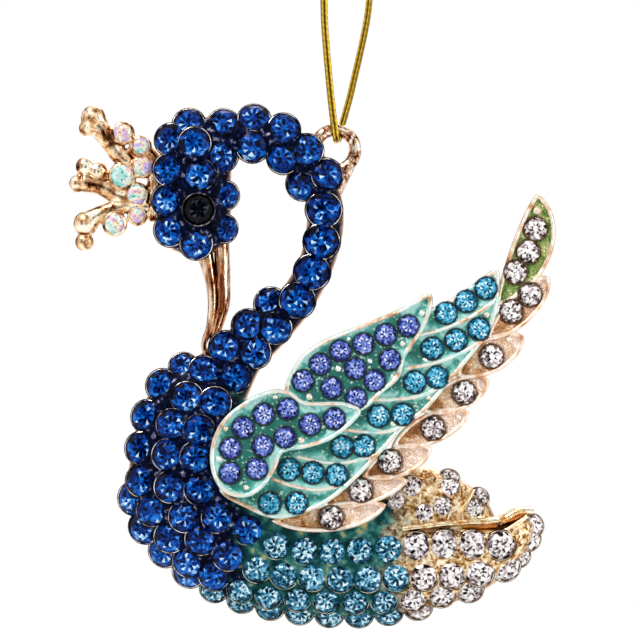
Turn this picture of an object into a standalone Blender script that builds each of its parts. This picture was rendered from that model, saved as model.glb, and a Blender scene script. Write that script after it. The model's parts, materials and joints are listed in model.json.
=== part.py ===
"""Swan ornament: a hollow-backed casting set with cut-glass stones, hung on a cord.

The frame: X to the right, Z up, the front faces -Y, and the origin is the centre of the
hanging ring. Lengths below are in millimetres and become metres as each mesh is made.
Points on the face of the swan are (X, Z) pairs.
"""
import math

import bmesh
import bpy
from mathutils import Matrix, Vector
from mathutils.bvhtree import BVHTree

MM = 0.001

# Depths of the casting, measured along Y
BACK = 1.0
BACK_STEP = 0.1
BODY_FRONT = -5.2
RUMP_FRONT = -4.0
HEAD_FRONT = -3.6
NECK_FRONT = -3.0
BEAK_FRONT = -1.9
TAIL_RIM_FRONT = -4.8
TAIL_RIM_EDGE = -3.6
CROWN_FRONT = -1.7
HOLLOW_DEPTH = 3.0
BODY_WALL = 1.7
HOLLOW_EDGE = 0.4
SIDE_EDGE = -0.4
DOME_POWER = 2.4
FLAT_ANGLE = math.radians(6)
DOME_SHARES = (0.0, 0.07, 0.28, 0.65)
BEAK_EDGE = 0.0
SHARP_ANGLE = math.radians(28)

# The hanging ring and its cord
RING_HOLE_RADIUS = 1.73
RING_WIRE = 1.56
RING_SIDES = 16
WIRE_SIDES = 6
CORD_DIAMETER = 0.9
CORD_CLEARANCE = 0.2
KNOT_HEIGHT = 3.0
KNOT_WIDTH = 2.7
KNOT_SIDES = 12
TAIL_SIDES = 8
KNOT_GAP = 0.3
KNOT_CENTRE = 1.35
KNOT_FLATTENING = 0.8
CORD_END_OFFSET = 0.35

# The wing is a stack of plates that leans back from its root towards its tips
WING_ROOT = (-13.0, -40.0)
WING_HEADING = math.radians(41.6)
WING_LEAN = 0.10
FLIGHT_FIELD = -6.5
AQUA_FIELD = -7.1
SECOND_COVERT_FIELD = -7.8
FIRST_COVERT_FIELD = -8.5
FLIGHT_STEP = 0.06
FLIGHT_THICKNESS = 2.2
AQUA_THICKNESS = 2.4
COVERT_THICKNESS = 2.6
ROOT_THICKNESS = 5.0
RIM_WIDTH = 0.5
RIM_HEIGHT = 0.45
RIDGE_HEIGHT = 0.37
RIDGE_ROOT = 0.3
RIDGE_SPREAD = 1.6
FEATHER_HANDLES = (0.25, 0.88)
MITRE_LIMIT = 0.5

# Stones: diameters by group, and their cut as shares of the radius
BLUE_STONE = 3.8
NECK_STONE = 4.2
SMALL_BLUE_STONE = 3.3
BELLY_STONE = 3.6
LOWER_BELLY_STONE = 3.4
RUMP_STONE = 2.6
TIP_STONE = 2.8
LILAC_STONE = 2.6
AQUA_STONE = 2.7
CLEAR_STONE = 2.9
EYE_STONE = 3.9
STONE_SIDES = 8
FUSED_STONE_SIDES = 6
TABLE_SHARE = 0.58
CROWN_SHARE = 0.36
PAVILION_SHARE = 0.62
SEAT_CLEARANCE = 0.06
STONE_SINK = 0.2
STONE_TURN = 1.6
EDGE_STONE_DEPTH = -2.2
RAY_START = -50.0
SEAT_POINT_CLEARANCE = 1.5
GIRDLE_LIFT = 0.05
EYE_CUP_WALL = 0.35
EYE_CUP_HEIGHT = 0.45
EYE_CUP_THICKNESS = 2.0
EYE_LIFT = 0.1
COLLET_WALL = 0.35
COLLET_THICKNESS = 1.6
COLLET_LIP = 0.05

BODY_OUTLINE = [(-16.5, -26.2), (-19.7, -26.5), (-22.6, -29.4), (-24.5, -33.4), (-25.5, -38),
                (-25.9, -42.6), (-24.8, -46.7), (-22, -50.3), (-18.5, -53.3), (-14.2, -56), (-8.1, -57.7),
                (-2, -58.5), (3.5, -58.6), (8.6, -58), (13.6, -56.9), (18.2, -55.2), (21.8, -52.6),
                (24.4, -49.5), (25.1, -46.8), (23.6, -45.9), (20, -46.9), (14, -47.2), (9, -46.5), (5, -41),
                (0, -36.5), (-6, -33), (-11, -31), (-13, -28)]
BODY_SPINE = [(-15, -39), (-12, -45), (2, -49.5), (20.5, -48.6)]
RUMP_OUTLINE = [(4, -42), (8, -39.8), (11.5, -39.6), (15, -40.9), (18.2, -43), (19.7, -45.3), (20.3, -48),
                (12, -50), (4, -49)]
RUMP_SPINE = [(8, -45.5), (14.5, -46)]
HEAD_OUTLINE = [(-21.9, -3), (-21.6, 1.2), (-19, 3.5), (-15, 4.2), (-13, 2), (-13, -4), (-13.1, -9),
                (-14.2, -12.2), (-17.3, -13.3), (-20.9, -12), (-22.1, -8)]
HEAD_SPINE = [(-17.5, -0.5), (-17.5, -8.5)]

# Neck: points along its middle with the half width at each
NECK_GUIDE = [(-15.5, 0.6, 2.6), (-10.2, 1.7, 2.7), (-6.3, 0.6, 2.7), (-3.3, -2.3, 2.6), (-1.5, -6, 2.3),
              (-1.3, -10, 2.3), (-2.5, -14.6, 2.2), (-4.9, -18.8, 2.3), (-8.3, -22.2, 2.8),
              (-11.8, -25.4, 3.2), (-14.6, -29.0, 4.2)]
UPPER_MANDIBLE = [(-16.4, -12.4, 1.1), (-15.6, -16, 0.75), (-15.3, -19, 0.62), (-15.6, -22, 0.55),
                  (-16.4, -24.3, 0.38), (-15.9, -26.2, 0.3)]
LOWER_MANDIBLE = [(-14.2, -11.6, 1.0), (-14.0, -16, 0.95), (-13.95, -19, 0.85), (-14.5, -21.5, 0.7),
                  (-15.3, -24.2, 0.5)]

# Crown: prongs end in balls, and each stone sits in its own collet on a curved band
RING_ROOT = [(1.9, -2.1, 0.6), (1, -3.7, 0.7), (0.3, -5.6, 0.5)]
CROWN_BAND = [(-25.4, 0.9, 0.8), (-22.8, -1.2, 0.9), (-22.4, -5, 0.9), (-22.4, -9, 0.7)]
CROWN_PRONGS = [[(-30.1, 3.7, 1.35), (-28.4, 1.3, 1.05), (-26.7, -0.9, 1.05), (-24.8, -2.6, 0.9)],
                [(-31.5, -4.1, 1.0), (-29.5, -4.4, 1.05), (-27, -5.8, 0.95), (-24.4, -6.4, 0.9)],
                [(-31, -8.9, 1.1), (-28.4, -7.6, 0.85), (-26, -7, 0.85), (-23.2, -7.2, 0.8)]]
BALL_SWELL = 1.06
BALL_FLATTENING = 0.9
CROWN_BALLS = [(-30.2, 4.0, 1.45), (-31.0, 2.7, 0.9), (-31.2, -2.1, 1.1), (-29.6, -2.7, 1.1),
               (-32.1, -4.2, 1.0), (-31.1, -9.2, 1.45), (-31.3, -11.5, 1.05)]
CROWN_STONES = [(-26.45, 2.05, 2.3), (-24.2, 0.45, 2.1), (-24.0, -2.1, 2.4), (-26.55, -3.3, 2.9),
                (-24.7, -5.6, 2.5), (-24.65, -8.25, 1.9), (-27.5, -9.3, 2.5)]

# Wing outlines and rims
FIRST_COVERT = [(3.2, -32.8), (1.4, -31.5), (-2.2, -31.4), (-3.9, -31.3), (-5.6, -30.1), (-7.8, -29.9),
                (-11, -31.2), (-14, -33.7), (-15.4, -37), (-15.2, -40.4), (-13.6, -42.7), (-11, -43.2),
                (-8.8, -41.9), (-7.3, -39.6), (-6.4, -37.7), (-3.4, -37.1), (0, -35.8)]
SECOND_COVERT = [(-6.2, -29.4), (-4.6, -26.2), (-2.7, -24.5), (-0.5, -23.3), (4, -21.5), (8.6, -19.6),
                 (11.6, -17.9), (12.1, -19.4), (11, -22.5), (8.8, -25.8), (8, -28.4), (5.9, -30.3),
                 (3.1, -32.6), (-2, -33.5), (-5.5, -32)]
AQUA_OUTLINE = [(10.5, -20.5), (13.5, -19.1), (16, -17.6), (18.2, -16), (20.2, -14.9), (20.5, -17),
                (19.9, -21.2), (17.9, -24.6), (14.6, -28.6), (11.6, -32.2), (8.4, -34.9), (5.6, -37.9),
                (2.4, -41.2), (-1.6, -44.3), (-6.8, -45.9), (-11, -44.6), (-14.4, -41.9), (-10, -37),
                (-2, -31), (6, -25)]
AQUA_RIMS = [[(10.6, -23.1), (13.7, -22.3), (17, -20.8), (20, -18.8)],
             [(8.7, -27.3), (12, -26.7), (15.2, -25.6), (18.4, -23.8)],
             [(4.6, -31.2), (9, -31), (12, -30.1), (14.4, -28.5)],
             [(1.2, -34.9), (5, -35.2), (7.6, -34.8), (10.6, -33)],
             [(-4.6, -38.2), (-1.5, -38.9), (1.6, -38.9), (5.2, -38)],
             [(-7.7, -41), (-5, -41.9), (-2, -42.3), (1.7, -41.6)]]
# Each flight feather: root, tip, bow of its upper edge, bow of its lower edge
FLIGHT_FEATHERS = [((20.0, -19.6), (25.3, -5.4), 0.8, 4.3), ((18.8, -23.9), (26.7, -15.7), 1.6, 2.2),
                   ((15.0, -28.3), (23.5, -23.2), 2.2, 2.2), ((10.8, -32.7), (19.2, -28.7), 2.0, 2.0),
                   ((7.0, -37.0), (16.7, -32.7), 2.0, 1.9), ((3.3, -40.8), (12.0, -37.2), 2.0, 1.9),
                   ((-2.0, -44.4), (9.0, -41.2), 1.9, 1.5), ((-8.0, -46.2), (6.4, -44.2), 1.2, 2.4)]
TAIL_RIMS = [[(8.4, -47.3, 0.5), (14, -46.6, 0.5), (20.2, -46.2, 0.5), (22.7, -45.1, 0.5),
              (24.7, -45.0, 0.45)],
             [(15.6, -47.5, 0.35), (20.4, -47.6, 0.4), (22.4, -46.7, 0.4), (23.9, -45.6, 0.35)]]

# Rows of stones: a guide through the row's (X, Z) points, how many stones, and their diameter
BLUE_ROWS = [([(-20.7, -10.1), (-21, -5.9), (-20.8, -2.1), (-20.6, 1.3)], 4, BLUE_STONE),
             ([(-17.3, -11.8)], 1, BLUE_STONE), ([(-16.9, -3.1), (-17.5, 0.8)], 2, BLUE_STONE),
             ([(-18.3, 3.3)], 1, BLUE_STONE), ([(-13.7, -9.9), (-13.5, -5.7)], 2, SMALL_BLUE_STONE),
             ([(-14.0, 3.3), (-9.9, 3.9), (-6.1, 2.5), (-3.2, -0.3), (-0.9, -3.1)], 5, BLUE_STONE),
             ([(-14, -0.8)], 1, BLUE_STONE), ([(-10.3, 0.3)], 1, BLUE_STONE),
             ([(-6.5, -1.1), (-4.2, -4.4)], 2, BLUE_STONE),
             ([(-1.4, -7.5), (-1.7, -11.6), (-2.8, -15.1), (-4.7, -18.8)], 4, NECK_STONE),
             ([(-8.2, -19), (-11.1, -22), (-13.8, -24.7), (-16.3, -27.6)], 4, BLUE_STONE),
             ([(-7.4, -22.3), (-10, -25.3), (-12.5, -28.4)], 3, BLUE_STONE),
             ([(-21.7, -29.3), (-18.4, -30.9), (-14.9, -31.5)], 3, BLUE_STONE),
             ([(-23.6, -33.2), (-20.5, -34.2), (-16.9, -35)], 3, BLUE_STONE),
             ([(-24.3, -37.2), (-21.1, -38), (-17.3, -38.3)], 3, BLUE_STONE),
             ([(-24.2, -41.3), (-20.6, -42), (-16.8, -42.3)], 3, BLUE_STONE),
             ([(-22.8, -45), (-18.8, -45.7), (-14.4, -45.8), (-10.8, -47.3)], 4, BLUE_STONE),
             ([(-20.6, -48.3), (-16.8, -48.5), (-13.3, -50.5)], 3, BLUE_STONE),
             ([(-18.3, -51.4), (-15.1, -53)], 2, BLUE_STONE)]
BLUE_EDGE_ROWS = [([(-19.0, -26.9)], 1, SMALL_BLUE_STONE),
                  ([(-25.5, -43.6), (-24.0, -47.4), (-21.4, -50.3), (-18.4, -52.9)], 4, BLUE_STONE)]
BELLY_ROWS = [([(-7.3, -49.2), (-3.5, -49.9), (3.8, -49.9), (7.7, -49.6), (14.2, -49.2), (20.6, -49.3)],
               9, BELLY_STONE),
              ([(-9.7, -52.2), (-5.8, -53), (1.5, -53.4), (8.6, -53.2), (15.4, -52.9), (21.4, -52.2)],
               10, BELLY_STONE),
              ([(-11.8, -54.9), (-8, -55.6), (-0.6, -56.2), (6.8, -56.2), (13.6, -55.4), (16.8, -54.9)],
               9, LOWER_BELLY_STONE)]
BELLY_EDGE_ROWS = [([(23.7, -48.4)], 1, TIP_STONE), ([(25.3, -46.6)], 1, TIP_STONE),
                   ([(23.3, -51)], 1, TIP_STONE),
                   ([(-15.2, -55.0), (-11.7, -56.5), (-8.1, -57.4), (-0.5, -58.2), (6.8, -58.0),
                     (10.4, -57.3)], 8, LOWER_BELLY_STONE)]
RUMP_ROWS = [([(9.5, -42.1)], 1, TIP_STONE), ([(7.5, -43.7)], 1, RUMP_STONE),
             ([(14.3, -42.2)], 1, RUMP_STONE), ([(13.4, -44.5), (11.1, -45.3)], 2, RUMP_STONE),
             ([(17.3, -44.7)], 1, RUMP_STONE)]
RUMP_EDGE_ROWS = [([(14.4, -40.7)], 1, RUMP_STONE), ([(18.3, -43.1)], 1, RUMP_STONE)]
WING_ROWS = [("lilac_stone", LILAC_STONE, FIRST_COVERT_FIELD,
              [([(-13, -40.2), (-12.9, -36.9), (-11.2, -34.4), (-8.8, -32.9), (-5.9, -32.3)], 5),
               ([(-9.7, -39.7), (-9.1, -37), (-6.2, -35.8)], 3), ([(-3.1, -34.2), (-0.1, -33.5)], 2)]),
             ("lilac_stone", LILAC_STONE, SECOND_COVERT_FIELD,
              [([(-4, -28.8), (-1.8, -26.7), (0.7, -25.1), (3.6, -24.2), (6.2, -23.1), (9.1, -22)], 6),
               ([(-0.4, -29.7), (2.5, -27.3)], 2), ([(2.6, -31), (5.1, -28.6), (6.8, -26.2)], 3)]),
             ("aqua_stone", AQUA_STONE, AQUA_FIELD,
              [([(13.8, -20.4), (16.4, -18.9), (18.8, -17.3)], 3),
               ([(12.1, -24.8), (15.2, -23.7), (17.9, -22.4)], 3), ([(9.9, -29), (12.7, -28.4)], 2),
               ([(5.4, -33.2), (8.4, -33)], 2), ([(0.9, -37), (3.6, -36.9)], 2),
               ([(-5.7, -39.8), (-2.9, -40.2), (0.2, -40.5)], 3), ([(-8.1, -44), (-4.8, -44)], 2)]),
             ("clear_stone", CLEAR_STONE, FLIGHT_FIELD,
              [([(25, -9.9), (24.1, -12.8), (22.5, -15.3)], 3), ([(24.3, -18.1), (22.0, -20.2)], 2),
               ([(19.5, -25.8)], 1), ([(16.1, -30.3)], 1), ([(12.2, -34.7)], 1), ([(6.8, -38.8)], 1),
               ([(3.2, -42.4)], 1), ([(-0.5, -45.8)], 1)])]
EYE = (-17.0, -7.5)

# Cord: through the ring and up both sides to the knot
CORD_TOP = 26.5
CORD_SIDES = [(-1.35, 17.0, -0.5), (-0.85, 10.0, -1.1)], [(2.3, 8.5, 1.0), (4.1, 17.0, 0.5)]
CORD_MEETING = 4.6
CORD_TURN_ACROSS = (-0.3, 0.0, 0.15, 0.3, 0.5, 0.7, 1.3)
CORD_SHOULDERS = [(0.2, -1.0, 0), (-1.2, -4.0, -0.2)], [(4.2, -4.0, 0.2), (2.5, -1.0, 0)]
KNOT_PROFILE = [(0.55, 0.0), (1.0, 0.12), (0.86, 0.33), (1.0, 0.5), (0.86, 0.67), (1.0, 0.88), (0.5, 1.0)]
KNOT_TAIL = [(0.35, -0.8), (0.9, 1.6), (1.7, 3.4)]


def clear_scene():
    for thing in list(bpy.data.objects):
        bpy.data.objects.remove(thing)


def make_material(name, colour, metallic, roughness):
    material = bpy.data.materials.new(name)
    material.use_nodes = True
    shader = material.node_tree.nodes["Principled BSDF"]
    shader.inputs["Base Color"].default_value = (*colour, 1.0)
    shader.inputs["Metallic"].default_value = metallic
    shader.inputs["Roughness"].default_value = roughness
    return material


def make_object(name, bm):
    """Turn a mesh in millimetres into an object in metres with its faces pointing out."""
    bmesh.ops.recalc_face_normals(bm, faces=bm.faces)
    bmesh.ops.scale(bm, vec=(MM, MM, MM), verts=bm.verts)
    mesh = bpy.data.meshes.new(name)
    bm.to_mesh(mesh)
    bm.free()
    thing = bpy.data.objects.new(name, mesh)
    bpy.context.scene.collection.objects.link(thing)
    return thing


def boolean(target, tools, operation):
    """Unite or cut the target with the tools exactly, and remove the tools."""
    group = bpy.data.collections.new("tools")
    for tool in tools:
        group.objects.link(tool)
    modifier = target.modifiers.new(operation, "BOOLEAN")
    modifier.solver = "EXACT"
    modifier.operation = operation
    modifier.operand_type = "COLLECTION"
    modifier.collection = group
    bpy.context.view_layer.update()
    result = bpy.data.meshes.new_from_object(target.evaluated_get(bpy.context.evaluated_depsgraph_get()))
    target.modifiers.clear()
    target.data = result
    for tool in tools:
        bpy.data.objects.remove(tool)
    bpy.data.collections.remove(group)


def merge_flat_faces(thing):
    """Join neighbouring faces that lie nearly in one plane."""
    bm = bmesh.new()
    bm.from_mesh(thing.data)
    bmesh.ops.dissolve_limit(bm, angle_limit=FLAT_ANGLE, verts=bm.verts, edges=bm.edges)
    bm.to_mesh(thing.data)
    bm.free()


def curve_through(points, per_span, closed=False):
    """Points along a smooth curve through the given ones; each may hold any number of values."""
    knots = [Vector(p) for p in points]
    spans = len(knots) if closed else len(knots) - 1
    if spans == 0:
        return knots
    at = (lambda i: knots[i % len(knots)]) if closed else (lambda i: knots[min(max(i, 0), len(knots) - 1)])
    curve = []
    for i in range(spans):
        before, a, b, after = at(i - 1), at(i), at(i + 1), at(i + 2)
        for k in range(per_span):
            t = k / per_span
            curve.append(0.5 * (2 * a + (b - before) * t + (2 * before - 5 * a + 4 * b - after) * t ** 2
                                + (3 * a - before - 3 * b + after) * t ** 3))
    return curve if closed else curve + [knots[-1]]


def spaced_along(points, count):
    """Evenly spaced places along the smooth curve through the points."""
    curve = curve_through(points, 12)
    if count == 1:
        return [curve[0]]
    reach = [0.0]
    for a, b in zip(curve, curve[1:]):
        reach.append(reach[-1] + (b - a).length)
    places = []
    for k in range(count):
        goal = reach[-1] * k / (count - 1)
        i = max(j for j in range(len(reach) - 1) if reach[j] <= goal + 1e-9)
        places.append(curve[i].lerp(curve[i + 1], (goal - reach[i]) / (reach[i + 1] - reach[i])))
    return places


def bridge(bm, rings, close_ends=True):
    """Join rings of equal size into one skin, and cap its two ends."""
    made = [[bm.verts.new(p) for p in ring] for ring in rings]
    size = len(made[0])
    for near, far in zip(made, made[1:]):
        for i in range(size):
            bm.faces.new((near[i], near[(i + 1) % size], far[(i + 1) % size], far[i]))
    if close_ends:
        bm.faces.new(made[0])
        bm.faces.new(list(reversed(made[-1])))


def nearest_on_line(point, line):
    """The nearest place on a run of straight stretches."""
    best = None
    for a, b in zip(line, line[1:]):
        a, b = Vector(a), Vector(b)
        t = max(0.0, min(1.0, (point - a).dot(b - a) / (b - a).length_squared))
        place = a.lerp(b, t)
        if best is None or (place - point).length < (best - point).length:
            best = place
    return best


def dome_rise(share):
    """Height of the dome, 0 at its edge and 1 at its crest, for the share of the way in."""
    return (1 - (1 - share) ** DOME_POWER) ** (1 / DOME_POWER)


def dome(name, outline, spine, edge, front, back, inset=0.0, per_span=1):
    """A pillow: a smooth outline that swells towards a line down its middle."""
    rim = curve_through(outline, per_span, closed=True)
    pairs = []
    for point in rim:
        middle = nearest_on_line(point, spine)
        pairs.append((point + (middle - point).normalized() * inset, middle))
    rings = [[(p.x, back, p.y) for p, _ in pairs]]
    for share in DOME_SHARES:
        y = edge + (front - edge) * dome_rise(share)
        ring = [p.lerp(m, share) for p, m in pairs]
        rings.append([(p.x, y, p.y) for p in ring])
    bm = bmesh.new()
    bridge(bm, rings)
    return make_object(name, bm)


def bar(name, guide, edge, front, back, per_span=2, steps=2):
    """A D-shaped bar along a guide of (X, Z, half width), domed in front and flat behind."""
    stations = curve_through(guide, per_span)
    rings = []
    for i, here in enumerate(stations):
        ahead = stations[min(i + 1, len(stations) - 1)] - stations[max(i - 1, 0)]
        side = Vector((-ahead.y, ahead.x)).normalized()
        middle = Vector((here.x, here.y))
        ring = []
        for k in range(-steps, steps + 1):
            share = math.sin(0.5 * math.pi * k / steps)
            place = middle + side * here.z * share
            ring.append((place.x, edge + (front - edge) * dome_rise(1 - abs(share)), place.y))
        for share in (1, -1):
            place = middle + side * here.z * share
            ring.append((place.x, back, place.y))
        rings.append(ring)
    bm = bmesh.new()
    bridge(bm, rings)
    return make_object(name, bm)


def wing_y(level, x, z):
    """Depth of a wing level at a place: the wing leans back towards its tips."""
    along = (x - WING_ROOT[0]) * math.cos(WING_HEADING) + (z - WING_ROOT[1]) * math.sin(WING_HEADING)
    return level + WING_LEAN * along


def wing_ring(outline, level):
    return [(p.x, wing_y(level, p.x, p.y), p.y) for p in outline]


def inset_outline(outline, distance):
    """The outline moved inwards by a distance, each point along the bisector of its corner."""
    count = len(outline)
    turn = sum(a.x * b.y - b.x * a.y for a, b in zip(outline, outline[1:] + outline[:1]))
    facing = 1 if turn > 0 else -1
    moved = []
    for i, here in enumerate(outline):
        before = (here - outline[i - 1]).normalized()
        after = (outline[(i + 1) % count] - here).normalized()
        inward = (before + after).normalized()
        inward = Vector((-inward.y, inward.x)) * facing
        corner = max(MITRE_LIMIT, math.sqrt(max(0.0, (1 + before.dot(after)) / 2)))
        moved.append(here + inward * distance / corner)
    return moved


def rimmed_plate(name, outline, field, thickness):
    """A wing plate with a raised rim round a sunken field."""
    outer = [Vector(p) for p in outline]
    inner = inset_outline(outer, RIM_WIDTH)
    bm = bmesh.new()
    bridge(bm, [wing_ring(outer, field + thickness), wing_ring(outer, field - RIM_HEIGHT),
                wing_ring(inner, field - RIM_HEIGHT), wing_ring(inner, field)])
    return make_object(name, bm)


def feather_edge(root, tip, bow, steps=4):
    """One edge of a feather: a curve from root to tip that swells most near the tip."""
    root, tip = Vector(root), Vector(tip)
    side = Vector((root.y - tip.y, tip.x - root.x)).normalized() * bow * 4 / 3
    near, far = FEATHER_HANDLES
    handles = [root, root.lerp(tip, near) + side, root.lerp(tip, far) + side, tip]
    edge = []
    for k in range(steps + 1):
        t = k / steps
        shares = ((1 - t) ** 3, 3 * t * (1 - t) ** 2, 3 * t * t * (1 - t), t ** 3)
        edge.append(sum((h * s for h, s in zip(handles, shares)), Vector((0, 0))))
    return edge


def ridge(name, guide, field, width=RIM_WIDTH):
    """A raised line on the wing with a crest and sloping sides."""
    rings = []
    for i, here in enumerate(guide):
        ahead = guide[min(i + 1, len(guide) - 1)] - guide[max(i - 1, 0)]
        side = Vector((-ahead.y, ahead.x)).normalized() * width / 2
        ring = []
        for share, level in ((-RIDGE_SPREAD, field + RIDGE_ROOT), (0, field - RIDGE_HEIGHT),
                             (RIDGE_SPREAD, field + RIDGE_ROOT)):
            place = here + side * share
            ring.append((place.x, wing_y(level, place.x, place.y), place.y))
        rings.append(ring)
    bm = bmesh.new()
    bridge(bm, rings)
    return make_object(name, bm)


def flight_feather(index, root, tip, upper_bow, lower_bow):
    """A plain leaf with a rim along its lower edge and round its tip."""
    field = FLIGHT_FIELD + FLIGHT_STEP * index
    upper = feather_edge(root, tip, upper_bow)
    lower = feather_edge(root, tip, -lower_bow)
    outline = lower + upper[-2:0:-1]
    bm = bmesh.new()
    bridge(bm, [wing_ring(outline, field + FLIGHT_THICKNESS), wing_ring(outline, field)])
    leaf = make_object("leaf", bm)
    inner = inset_outline(outline, RIM_WIDTH / 2)
    return [leaf, ridge("leaf_rim", inner[:len(lower) + 3], field)]


def ring_and_balls():
    """The hanging ring and the ball ends of the crown."""
    major = RING_HOLE_RADIUS + RING_WIRE / 2
    bm = bmesh.new()
    loops = []
    for i in range(RING_SIDES):
        around = 2 * math.pi * i / RING_SIDES
        out = Vector((math.cos(around), 0, math.sin(around)))
        loop = []
        for k in range(WIRE_SIDES):
            turn = 2 * math.pi * k / WIRE_SIDES
            rise = Vector((0, RING_WIRE / 2 * math.sin(turn), 0))
            loop.append(out * (major + RING_WIRE / 2 * math.cos(turn)) + rise)
        loops.append(loop)
    bridge(bm, loops + loops[:1], close_ends=False)
    bmesh.ops.remove_doubles(bm, verts=bm.verts, dist=1e-4)
    made = [make_object("ring", bm)]
    for x, z, radius in CROWN_BALLS:
        bm = bmesh.new()
        bmesh.ops.create_icosphere(bm, subdivisions=1, radius=radius * BALL_SWELL)
        bmesh.ops.scale(bm, vec=(1, BALL_FLATTENING, 1), verts=bm.verts)
        bmesh.ops.translate(bm, vec=(x, CROWN_FRONT / 3, z), verts=bm.verts)
        made.append(make_object("ball", bm))
    return made


def cut_stone(bm, diameter, sides, clearance, wall):
    """A round-cut stone with its girdle on the XY plane; a seat cutter gets a wall above it."""
    radius = diameter / 2 + clearance
    depth = PAVILION_SHARE * diameter / 2 + clearance * SEAT_POINT_CLEARANCE
    levels = [(wall, radius)] if wall else [(CROWN_SHARE * radius, TABLE_SHARE * radius)]
    levels.append((0.0, radius))
    rings = []
    for height, reach in levels:
        rings.append([bm.verts.new((reach * math.cos(a), reach * math.sin(a), height))
                      for a in (2 * math.pi * (i + 0.5) / sides for i in range(sides))])
    point = bm.verts.new((0, 0, -depth))
    bm.faces.new(rings[0])
    for i in range(sides):
        j = (i + 1) % sides
        bm.faces.new((rings[0][i], rings[1][i], rings[1][j], rings[0][j]))
        bm.faces.new((rings[1][j], rings[1][i], point))


def place_on(place, normal):
    """A frame at a place, in millimetres, whose Z is the surface's outward normal."""
    return Matrix.Translation(place) @ normal.to_track_quat("Z", "X").to_matrix().to_4x4()


def stone_at(name, diameter, frame, sides=STONE_SIDES, clearance=0.0, wall=0.0):
    bm = bmesh.new()
    cut_stone(bm, diameter, sides, clearance, wall)
    bm.transform(frame)
    return make_object(name, bm)


class Surface:
    """The casting's front, to set stones on."""

    def __init__(self, thing):
        self.tree = BVHTree.FromObject(thing, bpy.context.evaluated_depsgraph_get())

    def facing(self, x, z):
        """Where a ray from the front meets the metal, and the metal's normal there."""
        hit, normal, _, _ = self.tree.ray_cast(Vector((x, RAY_START, z)) * MM, Vector((0, 1, 0)))
        return hit / MM, normal

    def beside(self, x, z):
        """The nearest metal to a place on the swan's edge."""
        hit, normal, _, _ = self.tree.find_nearest(Vector((x, EDGE_STONE_DEPTH, z)) * MM)
        return hit / MM, normal


def fused_stones(surface):
    """The rows on head, neck, breast, belly, tail and rump, turned partly to the front."""
    stones = []
    for rows, find in ((BLUE_ROWS + BELLY_ROWS + RUMP_ROWS, surface.facing),
                       (BLUE_EDGE_ROWS + BELLY_EDGE_ROWS + RUMP_EDGE_ROWS, surface.beside)):
        for guide, count, diameter in rows:
            for x, z in spaced_along(guide, count):
                place, normal = find(x, z)
                facing = (normal + Vector((0, -STONE_TURN, 0))).normalized()
                frame = place_on(place - normal * STONE_SINK, facing)
                stones.append(stone_at("stone", diameter, frame, sides=FUSED_STONE_SIDES))
    return stones


def small_forms():
    """Beak, tail rims, crown prongs and balls, and the hanging ring with its root on the neck."""
    forms = ring_and_balls()
    for guide in (UPPER_MANDIBLE, LOWER_MANDIBLE):
        forms.append(bar("mandible", guide, BEAK_EDGE, BEAK_FRONT, BACK - 3 * BACK_STEP))
    for guide in TAIL_RIMS:
        forms.append(bar("tail_rim", guide, TAIL_RIM_EDGE, TAIL_RIM_FRONT, BACK - 6 * BACK_STEP))
    for guide in CROWN_PRONGS + [CROWN_BAND]:
        forms.append(bar("prong", guide, SIDE_EDGE, CROWN_FRONT, BACK - 4 * BACK_STEP))
    forms.append(bar("ring_root", RING_ROOT, SIDE_EDGE, BEAK_FRONT, BACK - 5 * BACK_STEP))
    return forms


def wing_forms():
    """The wing's plates from back to front, with the rims between their feathers."""
    forms = []
    for index, (root, tip, upper_bow, lower_bow) in enumerate(FLIGHT_FEATHERS):
        forms += flight_feather(index, root, tip, upper_bow, lower_bow)
    forms.append(rimmed_plate("aqua_plate", AQUA_OUTLINE, AQUA_FIELD, AQUA_THICKNESS))
    forms += [ridge("aqua_rim", curve_through(guide, 1), AQUA_FIELD) for guide in AQUA_RIMS]
    forms.append(rimmed_plate("second_covert", SECOND_COVERT, SECOND_COVERT_FIELD, COVERT_THICKNESS))
    forms.append(rimmed_plate("first_covert", FIRST_COVERT, FIRST_COVERT_FIELD, ROOT_THICKNESS))
    return forms


def separate_stones():
    """The wing, crown and eye stones, each its own solid, with a seat cutter and, off the wing, a collet."""
    stones, seats, collets = [], [], []
    lean = Vector((WING_LEAN * math.cos(WING_HEADING), -1, WING_LEAN * math.sin(WING_HEADING))).normalized()
    numbers = {}
    for kind, diameter, field, rows in WING_ROWS:
        for guide, count in rows:
            for x, z in spaced_along(guide, count):
                numbers[kind] = numbers.get(kind, 0) + 1
                frame = place_on(Vector((x, wing_y(field - GIRDLE_LIFT, x, z), z)), lean)
                stones.append(stone_at(f"{kind}_{numbers[kind]:02d}", diameter, frame))
                seats.append(stone_at("seat", diameter, frame, clearance=SEAT_CLEARANCE,
                                      wall=CROWN_SHARE * diameter))
    front = Vector((0, -1, 0))
    for number, (x, z, diameter) in enumerate(CROWN_STONES, 1):
        frame = place_on(Vector((x, CROWN_FRONT - EYE_LIFT, z)), front)
        stones.append(stone_at(f"crown_stone_{number}", diameter, frame))
        seats.append(stone_at("seat", diameter, frame, clearance=SEAT_CLEARANCE, wall=diameter))
        collets.append(disc("collet", x, z, diameter / 2 + COLLET_WALL, CROWN_FRONT - EYE_LIFT - COLLET_LIP,
                            COLLET_THICKNESS))
    eye_front = HEAD_FRONT - EYE_LIFT
    frame = place_on(Vector((EYE[0], eye_front, EYE[1])), front)
    stones.append(stone_at("eye_stone", EYE_STONE, frame))
    seats.append(stone_at("seat", EYE_STONE, frame, clearance=SEAT_CLEARANCE, wall=EYE_STONE))
    collets.append(disc("eye_cup", *EYE, EYE_STONE / 2 + EYE_CUP_WALL, eye_front - EYE_CUP_HEIGHT,
                        EYE_CUP_THICKNESS))
    return stones, seats, collets


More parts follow.
